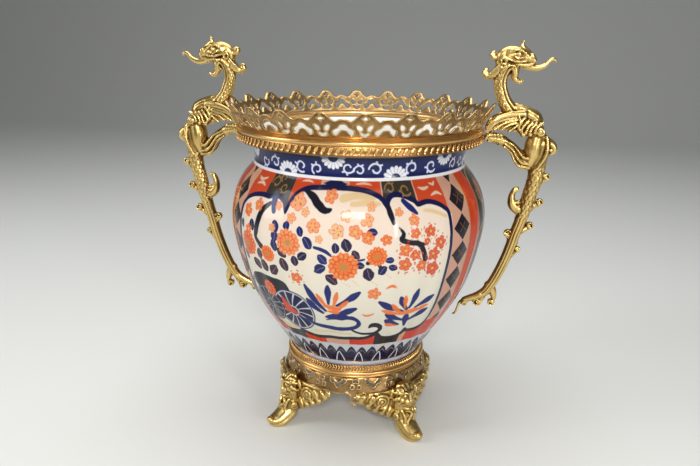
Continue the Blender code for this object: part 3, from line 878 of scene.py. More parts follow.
def skull_and_mouth(shape):
    """Skull, snout, horn, curled tongue and jaw."""
    limb(shape, 16, (12, 76.6, 5, 4.2), (17, 77.4, 8.6, 6.6), (24, 77.6, 9.2, 7.2), (31, 76.6, 7.6, 6.6),
         (36.4, 75.6, 6.0, 5.4), (40.6, 74.2, 4.4, 4.2))
    limb(shape, 12, (9.5, 70, 4.5, 4.8), (12, 77, 6.4, 5.6), (18, 82.6, 4.6, 4.8), (25, 84.4, 2.6, 3.4))
    # Upper lip and the snout's turned up end
    limb(shape, 10, (20, 71.4, 2.6, 5.4), (28, 69.4, 2.0, 5.2), (36, 69.2, 2.4, 4.6), (41, 70.6, 2.2, 3.6),
         (43.4, 73.6, 1.6, 2.6))
    limb(shape, 8, (31, 82.4, 2.6, 2.4), (36.4, 81, 2.3, 2.2), (40.8, 78, 2.0, 2.2), (43, 74, 1.6, 1.9))
    # Horn
    limb(shape, 8, (36.5, 81.2, 2.6, 2.2), (32.6, 83.8, 3.0, 2.4), (30.2, 87, 2.3, 2),
         (30.4, 89.8, 1.5, 1.4), (31.8, 91.6, 0.8, 0.8))
    # Tongue
    limb(shape, 10, (29, 69.4, 2.6, 3.6), (36, 67.6, 3.1, 3.6), (43.5, 66.4, 3.1, 3.4), (49, 67.2, 2.8, 3),
         (53.2, 69.4, 2.5, 2.6), (56.2, 72.8, 2.1, 2.3), (59.2, 75.1, 1.9, 2.1), (61.8, 74.6, 1.6, 1.9),
         (63, 72.8, 1.1, 1.5))
    # Jaw
    limb(shape, 10, (20.4, 69.5, 5.4, 5.0), (24, 65.4, 5.0, 4.6), (25.2, 60.6, 4.1, 4.0),
         (25.2, 56.4, 3.3, 3.5), (28, 53.6, 2.7, 3.2), (31.4, 53.4, 2.1, 2.7), (33.4, 55, 1.3, 1.9))
    limb(shape, 10, (15, 70, 3.6, 3.4), (18, 64.4, 4.0, 2.8), (20.4, 59.6, 3.2, 2.4))


def face_side(shape, side):
    """Brow, eye, cheek and teeth on one side of the head."""
    # Brow, eyelid and eye
    strand(shape, side, 8, (19.5, 6.2, 81, 0.9, 1.2), (23, 6.8, 83, 1.3, 1.5), (28, 6.6, 83.4, 1.3, 1.5),
           (33, 5.6, 80.4, 1.2, 1.3), (36.6, 4.6, 76.6, 0.9, 1.0))
    strand(shape, side, 8, (22.6, 6.8, 77.6, 0.9, 1.1), (26.6, 7.4, 75.4, 1.0, 1.2),
           (32, 6.2, 76.8, 0.8, 0.9))
    shape.ball((27.2, side * 6.4, 79.2), (2.5, 2.1, 2.4), 8, 12)
    shape.ball((40.0, side * 2.6, 77.4), (2.9, 2.5, 3.0))
    shape.ball((42.4, side * 2.2, 73.2), (2.0, 1.9, 1.9))
    # Curl of the cheek
    coil = spiral(3.7, 0.055, math.radians(60), math.radians(38), 11)
    shape.sweep([(13.6 + along, side * 6.2, 72.4 + up, 1.0, 1.3) for along, up in coil], 8)
    # Cheek ridges that run back into the neck
    strand(shape, side, 8, (34, 5.0, 72.4, 0.9, 1.0), (26, 6.4, 72.2, 1.2, 1.2), (19, 6.8, 74, 1.3, 1.3),
           (13, 5.8, 76.6, 1.2, 1.2))
    strand(shape, side, 8, (24, 5.0, 68, 1.2, 1.2), (18.5, 6.2, 68.4, 1.5, 1.4),
           (13.4, 5.8, 64.6, 1.2, 1.2), (10.4, 5.2, 58, 0.8, 0.9))
    # Upper teeth
    for tooth in range(4):
        out = 27 + tooth * 3.0
        strand(shape, side, 6, (out, 3.8, 68.6, 0.9, 0.8), (out + 0.3, 3.7, 66.6, 0.35, 0.35))


def ear_and_mane(shape):
    # Ear and its curl
    limb(shape, 10, (15, 78, 3.8, 5.4), (9, 75.8, 3.2, 4.6), (4.6, 75.4, 2.9, 4), (1.7, 77, 2.5, 3.6),
         (1.8, 79.9, 2.0, 3.2), (4.2, 81, 1.5, 2.6))
    shape.ball((3.8, 0, 78.6), (2.0, 3.6, 2.0))
    # Mane
    limb(shape, 12, (16, 72, 5.4, 6), (10, 65, 5.0, 5.6), (4.6, 59.4, 4.2, 4.8), (-1.0, 57.8, 3.3, 4),
         (-4.4, 60, 2.6, 3.4), (-3.9, 63.6, 1.9, 2.8), (-1.4, 64.6, 1.3, 2.2))
    shape.ball((-1.8, 0, 61.4), (1.8, 3.4, 1.8))
    for side in (-1, 1):
        for lift, length in ((0.0, 1.0), (2.6, 0.82), (-2.4, 0.9)):
            shape.sweep([(13 - 0.2 * lift, side * 5.2, 70 + lift, 1.0, 1.0),
                         (8 - lift * 0.4, side * 4.9, 64.4 + 0.8 * lift, 1.1, 1.0),
                         (3.4 - lift * 0.5, side * 3.9, 60 + 0.5 * lift, 0.9, 0.9),
                         (-1.4 * length, side * 2.6, 58.6 + 0.2 * lift, 0.5, 0.6)], 6)


def wing_forms(shape, side):
    """One wing: a smooth edge that sweeps in to the gallery, long and short feathers, and a scroll."""
    # Plates that carry the feathers
    strand(shape, side, 12, (35, 6.6, 12.4, 9, 2), (26, 8.2, 13, 8, 1.8), (18, 9.6, 12.2, 6.4, 1.6),
           (11, 10.8, 10.4, 4.4, 1.5), (5, 11.8, 7.4, 2.6, 1.3))
    strand(shape, side, 12, (35, 7.4, 8, 8.2, 2), (44, 7.4, 8, 8.2, 2.2), (53, 6.4, 8, 7.4, 2.4))
    # Front edge
    strand(shape, side, 10, (37, 5.8, 22.6, 3.8, 3.4), (28, 8.0, 22, 3.6, 3), (21.4, 9.4, 20.9, 3.3, 2.7),
           (14, 10.9, 18.7, 2.9, 2.4), (7.2, 12.2, 14.4, 2.5, 2.1), (3.2, 13, 9.6, 2.0, 1.8),
           (1.8, 13.4, 4.2, 1.5, 1.4))
    feathers = (((29, 8.8, 18.4), (14, 11.2, 15.2), (6.4, 12.6, 10.2), (2.4, 13.2, 4.0)),
                ((30, 9.2, 16.4), (19.4, 10.9, 13.6), (13.6, 11.8, 10.2), (8.8, 12.4, 6.6)),
                ((30, 9.6, 13.6), (21.6, 10.9, 10.8), (15.4, 11.6, 6.0)),
                ((32.6, 9.4, 12.8), (27.2, 10.2, 8.2), (22.4, 10.8, 4.6)))
    for feather in feathers:
        count = len(feather) - 1
        strand(shape, side, 8, *[(*spot, 1.35 - 0.35 * number / count, 2.0 - 0.6 * number / count)
                                 for number, spot in enumerate(feather)])
    strand(shape, side, 8, (30.6, 7.6, 23, 1.6, 2.6), (33.6, 9.2, 15, 1.9, 2.4), (32.2, 9.6, 9, 1.5, 2.2),
           (34.2, 9.4, 5.4, 1.1, 1.7))
    ribs = (((41.6, 8.2, 16), (37.8, 9.2, 11.6), (35.4, 9.6, 6.4), (36.8, 9.4, 1.8)),
            ((45.4, 8.4, 14.2), (41.4, 9.4, 9.4), (39.6, 9.6, 3.6)),
            ((49.4, 8.2, 13.6), (45.2, 9.4, 8.8), (43.2, 9.6, 2.8)),
            ((56.0, 6.6, 14), (50.6, 8.8, 10.4), (47.8, 9.4, 5.0)),
            ((38.4, 7.8, 19.4), (35.6, 8.8, 16.4), (33.8, 9.2, 12)))
    for rib in ribs:
        strand(shape, side, 8, *[(*spot, 1.4, 2.1) for spot in rib])
    for out, up, size in ((37.6, 1.8, 2.1), (44.2, 2.4, 2.1), (48.4, 4.6, 1.8)):
        shape.ball((out, side * 9.7, up), (size, 0.8 * size, size))
    coil = spiral(4.7, 0.05, math.radians(200), math.radians(-36), 15)
    shape.sweep([(54.0 + along, side * (7.9 + 0.12 * step), 4.6 + up, 1.2, 1.4)
                 for step, (along, up) in enumerate(coil)], 8)
    shape.ball((54.0, side * 8.6, 4.6), (2.1, 2.0, 2.1))


def body_forms(shape):
    """Back, chest, fluted arm with its knotted hand, and the scroll on the hip."""
    limb(shape, 14, (25, 25, 6.0, 6.4), (33, 24.4, 6.0, 6.8), (41, 21.4, 6.4, 7.2), (48, 17, 6.8, 7.6),
         (50, 9.4, 7.0, 7.8), (53.4, 0, 7.6, 7.8))
    limb(shape, 8, (27, 30.6, 1.7, 2.4), (36, 29.2, 1.5, 2.2), (45, 26.2, 1.5, 2.2), (52, 22.4, 1.4, 2.2),
         (55.4, 16.6, 1.2, 2.2))
    limb(shape, 18, (52.4, 3, 7.6, 8), (50.4, -5, 9.0, 9.2), (49.4, -12, 9.4, 9.8), (49, -19, 8.4, 9),
         (47, -26, 7, 7.4))
    shape.sweep(ARM, 14)
    for side in (-1, 1):
        # Side of the back, and flutes of the arm
        strand(shape, side, 8, (24, 3.4, 28.6, 0.9, 1.2), (33, 4.6, 28.2, 1.0, 1.3),
               (43, 5.2, 25.2, 1.0, 1.3), (51, 5.4, 20.6, 0.8, 1.1))
        strand(shape, side, 8, (47, 5.0, -27.6, 1.5, 1.8), (39, 6.0, -26.8, 1.5, 1.7),
               (33.2, 5.6, -20.8, 1.4, 1.5), (28.2, 5.0, -13.4, 1.1, 1.3), (21, 4.8, -8.8, 0.9, 1.1))
        strand(shape, side, 8, (45, 6.2, -22, 1.4, 1.7), (39.6, 6.6, -20.8, 1.5, 1.7),
               (35, 6.0, -15.4, 1.3, 1.5), (29.6, 5.2, -9.4, 1.1, 1.3), (22, 4.8, -5.4, 0.8, 1.0))
        strand(shape, side, 8, (46, 3.8, -31, 1.4, 1.7), (37, 4.8, -30.4, 1.5, 1.7),
               (31.2, 4.6, -24.6, 1.3, 1.5), (27, 4.4, -17, 1.1, 1.3), (20, 4.2, -11.4, 0.8, 1.0))
        # Smooth band between chest and tail
        strand(shape, side, 10, (61.2, 5.0, -1, 2.2, 2.8), (62.2, 6.6, -12, 2.3, 2.8),
               (59.8, 7.2, -21, 2.1, 2.6), (54.8, 6.8, -30, 1.6, 2.2), (50, 5.6, -36, 1.0, 1.4))
        # Knots of the hand
        for number in range(15):
            out, row = 4.4 + 3.1 * (number % 5), number // 5
            shape.ball((out + 1.1 * (row % 2), side * (6.6 - 0.16 * out), 0.6 - 3.2 * row), (1.6, 1.5, 1.5),
                       6, 8)
    # Bulge under the elbow
    limb(shape, 10, (46, -31, 4, 5.6), (38.6, -30.6, 3.2, 5.2), (33.6, -28, 1.9, 4))
    # Hand on the band: a palm over four claws
    shape.sweep([(19, 0, -5.8, 5.6, 5.8), (11, 0, -3.9, 5.0, 6.8), (5, 0, -2.9, 4.2, 7.6),
                 (1.4, 0, -2.6, 3.2, 7.8)], 14)
    for number in range(4):
        across = -6.3 + 4.2 * number
        shape.sweep([(11, across * 0.7, 0.6, 1.6, 1.9), (6, across, 0.9, 1.9, 2.1),
                     (2.4, across * 1.08, -0.8, 1.5, 1.7), (1.0, across * 1.1, -4.4, 1.0, 1.1)], 8, steps=3)
        shape.ball((7.4, across * 0.94, 1.9), (1.7, 1.6, 1.2))
    # Scroll on the hip
    limb(shape, 12, (57, -3, 6, 6), (63.4, -5.8, 5.0, 5.8), (68.6, -9.4, 4.0, 5.2), (69.6, -14, 3.0, 4.6),
         (66.8, -17, 2.1, 3.8))
    shape.ball((66.4, 0, -13.4), (2.6, 5.0, 2.6))


def tail_forms(shape):
    """The tail with its outer buds, the inner leaf and scroll, and three end volutes."""
    shape.sweep(TAIL, 16)
    for root, knob, size in (((56, -49), (64.8, -40.6), 3.7), ((51, -74), (60.4, -67.4), 3.9),
                             ((46, -98), (53.0, -92.8), 3.9), ((37, -125), (42.8, -119.6), 2.8)):
        limb(shape, 10, (*root, 4.6, 4.0), (knob[0] - 2.6, knob[1] - 3.4, 2.6, 2.2))
        volute(shape, knob, size, math.radians(-100), 1.1, 1.0, 3.3)
    # Inner leaf with its rolled tip
    limb(shape, 12, (48, -80, 5.2, 4.4), (43, -77.4, 5.6, 4.8), (37.6, -75.4, 5.6, 5.2),
         (33.6, -71.4, 5.0, 5.2), (32.2, -65.6, 3.9, 4.8), (32.8, -60, 3.1, 4), (34.8, -55.4, 2.5, 3.4),
         (37.4, -54, 1.7, 2.6))
    volute(shape, (36.2, -56.2), 2.4, math.radians(110), -0.7, 1.0, 2.8)
    limb(shape, 8, (40, -68.6, 1.8, 3.6), (36.6, -68.8, 1.9, 4.4), (34.6, -66, 1.3, 3.4))
    # Inner scroll lower down
    limb(shape, 10, (39, -113, 4.6, 4.2), (35, -109.4, 3.6, 4), (32, -105.8, 2.8, 3.8))
    volute(shape, (31.8, -102.6), 4.0, math.radians(-100), -1.2, 1.1, 3.8)
    # End volutes and the thin hooked tip
    limb(shape, 10, (16, -162, 5.4, 4.2), (20.6, -169, 4.6, 3.8), (22.6, -176, 3.2, 3.2))
    volute(shape, (19.6, -181.8), 3.7, math.radians(40), -1.2, 1.2, 3.8)
    limb(shape, 10, (10, -172, 4.6, 4), (9.8, -177, 3.8, 3.6), (8.6, -181, 2.8, 3.0))
    volute(shape, (4.8, -182.6), 4.5, math.radians(10), -1.2, 1.2, 3.8)
    volute(shape, (-8.8, -185.2), 3.2, math.radians(80), -1.2, 1.0, 3.4)
    limb(shape, 8, (-8, -181.6, 2.8, 2.8), (-13.4, -185.4, 1.8, 2.2), (-15.4, -191, 1.5, 2),
         (-17, -196.4, 1.4, 1.8), (-19, -199.2, 1.1, 1.6), (-21, -199, 0.8, 1.3))


NECK_FLUTES = 9
NECK_FLUTE_DEPTH = 0.42
NECK_SCALES = 12
NECK_SCALE_LENGTH = 3.1
NECK_SCALE_DEPTH = 0.7
TAIL_SCALES = 9
TAIL_SCALE_LENGTH = 5.2
TAIL_SCALE_DEPTH = 1.1
TAIL_GROOVE_DEPTH = 0.6
PEBBLE_DEPTH = 0.3
BACK_FLUTE_DEPTH = 0.2


def chase_handle(points):
    """Height of the chasing at each point: flutes and scales on the neck, scales and grooves on the tail,
    pebbles on the hand and flutes on the back."""
    depth = np.zeros(len(points))
    along, angle, out, share = Track(NECK).read(points)
    reach, across, up = points.T
    near = (out < 1.35) & (share > 0.06) & (share < 0.93) & (up > 24)
    front = np.cos(angle) > 0.12
    depth += np.where(near & front, NECK_FLUTE_DEPTH * np.cos(NECK_FLUTES * angle) - 0.1, 0.0)
    scale = scale_pattern(along / NECK_SCALE_LENGTH, angle / TAU * NECK_SCALES)
    depth += np.where(near & ~front, NECK_SCALE_DEPTH * scale, 0.0)
    along, angle, out, share = Track(TAIL).read(points)
    near = (out < 1.3) & (reach > -6)
    scale = scale_pattern(along / TAIL_SCALE_LENGTH, angle / TAU * TAIL_SCALES)
    depth += np.where(near & (up > -86) & (up < -30), TAIL_SCALE_DEPTH * scale, 0.0)
    flute = np.minimum(np.abs(np.abs(angle) - 1.25), np.abs(np.abs(angle) - 1.95))
    groove = TAIL_GROOVE_DEPTH * np.exp(-(flute / 0.13) ** 2)
    depth -= np.where(near & (up < -84) & (up > -172), groove, 0.0)
    hand = (reach < 15) & (reach > 2) & (up < 4) & (up > -12)
    pebbles = np.sin(reach * 2.6) * np.sin(across * 2.4 + 0.7) * np.sin(up * 2.2)
    depth += np.where(hand, PEBBLE_DEPTH * pebbles, 0.0)
    back = (reach > 28) & (up > 14) & (up < 34) & (np.abs(across) < 5.5)
    depth += np.where(back, BACK_FLUTE_DEPTH * np.cos(across * 2.6), 0.0)
    return depth


def scale_pattern(row, column):
    """Overlapping scales: 0 at the rim of each, rising to 1 in its middle."""
    line = np.floor(row)
    best = np.zeros_like(row)
    for back in (0, 1):
        ring = line - back
        shift = 0.5 * np.mod(ring, 2)
        across = np.mod(column + shift, 1.0) - 0.5
        down = row - ring
        reach = np.hypot(across / 0.62, (down - 0.45) / 0.95)
        lift = np.clip(1.0 - reach ** 3, 0, 1) * (0.5 + 0.5 * np.clip(down, 0, 1.4))
        best = np.maximum(best, lift)
    return best - 0.45


def clear_of_rim(points):
    """Points moved outwards where they would enter the rim band or the gallery."""
    heights = (rim_low - 0.5, rim_low, rim_high, rim_high + 0.1, gallery_top, gallery_top + 0.1)
    walls = (0, band_radius, band_radius, gallery_foot_radius + 0.8, gallery_tip_radius, 0)
    radius = np.hypot(points[:, 0], points[:, 1])
    wall = np.interp(points[:, 2], heights, walls) + 0.3
    points[:, :2] *= np.maximum(wall / radius, 1.0)[:, None]
    return points


def handle_mesh():
    shape = Shape()
    head_forms(shape)
    shape.sweep(NECK, 16)
    body_forms(shape)
    tail_forms(shape)
    for side in (-1, 1):
        wing_forms(shape, side)
    mesh = fused(shape, "dragon", DRAGON_VOXEL)
    points = positions(mesh)
    points = neighbour_mean(points, edges_of(mesh), 1)
    move_points(mesh, points)
    points = points + normals(mesh) * chase_handle(points)[:, None]
    place = clear_of_rim(points + np.array((band_radius + 0.3, 0.0, rim_middle)))
    low, high = (np.array(corner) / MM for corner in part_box("dragon_handle_right"))
    move_points(mesh, np.clip(place, low, high))
    shade_relief(mesh, 1.15)
    return mesh


# Feet, in millimetres: each is made at the front and turned to its corner

FOOT_TURNS = {"foot_front_right": 45, "foot_back_right": 135, "foot_back_left": 225, "foot_front_left": 315}
FOOT_VOXEL = 0.6
LEAF_RADIUS = skirt_radius + 0.6
ROSETTE_TURN = 17.0
ROSETTE_HEIGHT = 39.4


def ring_spot(degrees, height, out=0.0):
    angle = math.radians(degrees)
    radius = LEAF_RADIUS + out
    return (radius * math.sin(angle), -radius * math.cos(angle), height)


def leaf_floor(degrees):
    """Height of the leafage's lower edge, at an angle from the middle of the foot."""
    return float(np.interp(abs(degrees), (0, 5, 10, 15, 20, 25, 30, 34),
                           (9, 12.5, 18, 22.5, 26.5, 31, 36.5, 42)))


def scroll_on_ring(shape, degrees, height, out, size, thick, turns, start=0.0):
    """A rolled scroll laid on the skirt, with a boss in its middle."""
    count = int(10 * turns)
    coil = spiral(size, 0.62 / count, start, TAU / 10, count + 1)
    shape.sweep([(*ring_spot(degrees + math.degrees(along / LEAF_RADIUS), height + up, out), thick, thick)
                 for along, up in coil], 8, FRONT, 2)
    shape.ball(ring_spot(degrees, height, out), (0.42 * size, 0.42 * size, 0.42 * size))


def leaf_on_ring(shape, start, end, wide, out):
    """A rounded leaf laid on the skirt from one (degrees, height) to another, with three ribs."""
    start, end = np.array(start, float), np.array(end, float)
    across = np.array((end[1] - start[1], -(end[0] - start[0]) * math.radians(LEAF_RADIUS)))
    across /= np.hypot(*across) + 1e-9
    across[0] /= math.radians(LEAF_RADIUS)
    for shift, half, proud in ((0.0, 0.62, 0.0), (-0.55, 0.42, 0.2), (0.55, 0.42, 0.2)):
        rows = []
        for t, size in ((0.0, 0.6), (0.35, 1.0), (0.7, 1.0), (1.0, 0.5)):
            spot = start + (end - start) * t + across * shift * wide * size
            rows.append((*ring_spot(spot[0], spot[1], out + proud + 0.8 * math.sin(math.pi * t)),
                         half * wide * size, 1.5))
        middle = math.radians((start[0] + end[0]) / 2)
        shape.sweep(rows, 10, (math.sin(middle), -math.cos(middle), 0), 3)


def foot_leafage(shape, side):
    """The leaves on one side of a foot: a smooth ground, a scalloped edge, a rosette and a curled tip."""
    for step in range(23):
        turn = side * step * 1.55
        low = leaf_floor(turn) + 1.6
        facing = (math.sin(math.radians(turn)), -math.cos(math.radians(turn)), 0)
        shape.sweep([(*ring_spot(turn, low, 1.6), 2.6, 1.5),
                     (*ring_spot(turn, (low + 49.5) / 2, 2.4), 2.8, 1.6),
                     (*ring_spot(turn, 49.0, 0.9), 2.6, 1.0)], 8, facing, 3)
    # Lobes of the lower edge
    for number in range(5):
        spread = 10.5 + number * 5.2
        low = leaf_floor(spread) + 3.2
        shape.ball(ring_spot(side * spread, low + 0.6, 2.4), (4.2, 3.0, 4.0), 10, 14)
        shape.sweep([(*ring_spot(side * (spread - 3.2), low + 7.4, 2.6), 1.7, 1.7),
                     (*ring_spot(side * (spread - 1.6), low + 5.6, 4.2), 2.2, 1.9),
                     (*ring_spot(side * (spread + 0.6), low + 1.6, 4.6), 2.0, 1.7)], 10)
    # Rosette of two rings and a boss
    for reach, thick, out in ((7.4, 1.6, 3.4), (4.0, 1.3, 4.4)):
        ring = []
        for along, up in spiral(reach, 0.0, 0.0, TAU / 14, 15):
            turn = side * ROSETTE_TURN + math.degrees(along / LEAF_RADIUS)
            ring.append((*ring_spot(turn, ROSETTE_HEIGHT + up, out), thick, thick))
        shape.sweep(ring, 8, FRONT, 2)
    shape.ball(ring_spot(side * ROSETTE_TURN, ROSETTE_HEIGHT, 3.6), (3.0, 2.4, 3.0), 8, 12)
    # Broad leaf, leaves beside the mask, and the curled tip
    leaf_on_ring(shape, (side * 23.0, 47.0), (side * 25.4, 38.0), 3.2, 3.4)
    leaf_on_ring(shape, (side * 9.8, 31.0), (side * 12.4, 22.0), 3.0, 3.8)
    leaf_on_ring(shape, (side * 9.8, 42.0), (side * 8.4, 52.0), 2.6, 3.6)
    scroll_on_ring(shape, side * 30.6, 44.4, 3.4, 3.4, 1.3, 1.2, math.pi / 2)
    shape.ball(ring_spot(side * 34.4, 45.4, 2.2), (2.0, 1.8, 2.0), 6, 10)


def foot_mask(shape):
    """A generic animal mask: skull, brows, eyes, cheeks, muzzle and mouth, in a crown of leaves."""
    shape.ball((0, -90.2, 44), (9.6, 6.8, 10), 14, 18)
    shape.ball((0, -95.6, 38.8), (5.6, 4.2, 4.4), 12, 16)
    shape.ball((0, -99.2, 40.8), (2.4, 1.5, 1.6))
    shape.sweep([(0, -96.4, 50, 1.9, 1.5), (0, -97.8, 45.4, 1.6, 1.4), (0, -99, 41.6, 1.8, 1.4)], 8)
    for drop, half in ((34.6, 1.5), (30.8, 1.4)):
        shape.sweep([(-8.2, -90.4, drop + 4.6, 0.9, 1.0), (-5.2, -94.2, drop + 1.4, half, 1.4),
                     (0, -97.0, drop, half, 1.5), (5.2, -94.2, drop + 1.4, half, 1.4),
                     (8.2, -90.4, drop + 4.6, 0.9, 1.0)], 8)
    for side in (-1, 1):
        shape.sweep([(side * 1.4, -97.0, 48.8, 1.3, 1.3), (side * 4.8, -96.4, 50.4, 1.6, 1.5),
                     (side * 8.6, -92.6, 47.8, 1.1, 1.2)], 8)
        shape.ball((side * 4.4, -95.6, 46.2), (1.9, 1.5, 1.6), 8, 10)
        shape.ball((side * 6.6, -93.2, 41.0), (3.4, 3.0, 3.2), 8, 12)
        shape.ball((side * 9.4, -89.0, 51.4), (2.6, 2.2, 3.2), 8, 12)
        for number in range(4):
            angle = math.radians(40 - number * 34)
            start = (side * 8.4 * math.cos(angle), -91.6, 43.5 + 9.0 * math.sin(angle))
            end = (side * 14.0 * math.cos(angle - 0.25), -87.4, 43.5 + 13.4 * math.sin(angle - 0.3))
            middle = tuple((a + b) / 2 for a, b in zip(start, end))
            shape.sweep([(*start, 2.0, 2.0), (middle[0], -91.4, middle[2] + 0.8, 2.3, 2.2),
                         (*end, 1.3, 1.4)], 8)
    for across, top in ((-6.4, 54.0), (-2.4, 56.0), (2.4, 56.0), (6.4, 54.0)):
        shape.sweep([(across * 0.8, -93.6, 49.8, 1.7, 1.5), (across, -91.8, 53.0, 2.0, 1.6),
                     (across * 1.1, -89.4, top, 1.0, 1.0)], 8)


def foot_mesh():
    """Leg with a mask, a scrolled ankle and a broad smooth toe, between two spreads of leaves."""
    shape = Shape()
    for side in (-1, 1):
        foot_leafage(shape, side)
    foot_mask(shape)
    shape.sweep([(0, -85.8, 55, 9.5, 3.6), (0, -87.2, 49, 11.4, 5.2), (0, -88.4, 41, 12, 6.6),
                 (0, -88.2, 32, 12.2, 7.6), (0, -88.0, 24, 12.4, 8.2), (0, -89, 16, 12.2, 8.2),
                 (0, -93, 9.6, 11.4, 7.0)], 16)
    # Toe with a thick rim along its sole
    shape.sweep([(0, -88, 17, 11.4, 7.2), (0, -93.4, 13, 11.2, 7.2), (0, -99.4, 9.2, 10.6, 6.4),
                 (0, -105.4, 6.4, 9.6, 5.4), (0, -110.4, 5.8, 7.8, 4.6), (0, -113.6, 7.2, 5.2, 3.6)],
                18, UP)
    rim = [(10.2, -90, 12.0), (9.6, -97, 6.6), (8.6, -104, 3.2), (5.6, -110.2, 3.0)]
    rim = [(-across, out, up) for across, out, up in rim] + [(0, -113.0, 4.4)] + rim[::-1]
    shape.sweep([(*spot, 2.1, 3.1) for spot in rim], 12, UP)
    # Scrolls of the ankle, at the sides and in front
    for side in (-1, 1):
        coil = spiral(5.4, 0.055, math.radians(110), math.radians(-38), 13)
        shape.sweep([(side * (11.2 + 0.14 * step), -90.4 + along, 23.0 + up, 1.5, 1.7)
                     for step, (along, up) in enumerate(coil)], 8, RIGHT, 2)
        shape.ball((side * 12.4, -90.4, 23.0), (1.8, 2.3, 2.3), 8, 10)
        shape.sweep([(side * 7.4, -94.6, 28.6, 1.2, 1.2), (side * 5.8, -97.4, 23.4, 1.8, 1.6),
                     (side * 5.4, -98.4, 18.0, 1.7, 1.5), (side * 7.0, -98.6, 13.6, 1.0, 1.0)], 8)
    shape.sweep([(-2.6, -95.4, 28.4, 1.2, 1.3), (1.8, -96.8, 26.6, 1.8, 1.6), (3.0, -97.8, 23.0, 1.9, 1.6),
                 (-0.4, -98.6, 19.8, 1.9, 1.6), (-3.4, -99.4, 16.6, 1.8, 1.5),
                 (-1.6, -100.6, 13.4, 1.7, 1.4), (1.8, -101.0, 13.8, 1.3, 1.2)], 8)
    mesh = fused(shape, "foot", FOOT_VOXEL)
    points = neighbour_mean(positions(mesh), edges_of(mesh), 3)
    points[:, 2] = np.where(points[:, 2] < 0.35, 0.0, points[:, 2])
    inner = np.hypot(points[:, 0], points[:, 1])
    points[:, :2] *= (np.maximum(inner, LEAF_RADIUS - 0.2) / inner)[:, None]
    points[:, 2] = np.clip(points[:, 2], 0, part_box("foot_front_right")[1].z / MM)
    move_points(mesh, points)
    shade_relief(mesh, 1.05)
    return mesh


# The jar, in millimetres; its angle is counted from the front, towards the right

JAR_FOOT_RADIUS = 70.5
JAR_NECK_RADIUS = 111.0
JAR_LIP_RADIUS = 116.0
JAR_NECK_HEIGHT = 282.7
JAR_NECK_TOP = 296.0
JAR_WALL = 7.0
JAR_FLOOR = 81.8
BELLY_RISE = ((0.05, 0.060), (0.114, 0.196), (0.198, 0.370), (0.297, 0.572), (0.42, 0.773), (0.542, 0.898),
              (0.666, 0.983), (0.76, 1.0))
SHOULDER_FALL = ((0.862, 0.807), (0.936, 0.448))
RIBS = 32
RIB_DEPTH = 0.9
OUTSIDE_ROWS = 176
PANEL_COLUMNS = 172
BORDER_COLUMNS = 66
PANEL_HALF = 53.0


def jar_profile():
    """Radius and height up the outside of the body and the neck."""
    span = JAR_NECK_HEIGHT - jar_low
    rows = [(JAR_FOOT_RADIUS, jar_low)]
    rows += [(JAR_FOOT_RADIUS + share * (belly_radius - JAR_FOOT_RADIUS), jar_low + up * span)
             for up, share in BELLY_RISE]
    rows += [(JAR_NECK_RADIUS + share * (belly_radius - JAR_NECK_RADIUS), jar_low + up * span)
             for up, share in SHOULDER_FALL]
    rows += [(JAR_NECK_RADIUS, JAR_NECK_HEIGHT), (JAR_NECK_RADIUS, JAR_NECK_TOP),
             (JAR_LIP_RADIUS - 1.0, jar_high - 3.0)]
    curve = smooth_curve(rows, 24)
    curve[:, 0] = np.minimum(curve[:, 0], belly_radius)
    along = np.concatenate([[0], np.cumsum(np.hypot(*np.diff(curve, axis=0).T))])
    even = np.linspace(0, along[-1], OUTSIDE_ROWS)
    return np.stack([np.interp(even, along, curve[:, 0]), np.interp(even, along, curve[:, 1])], 1)


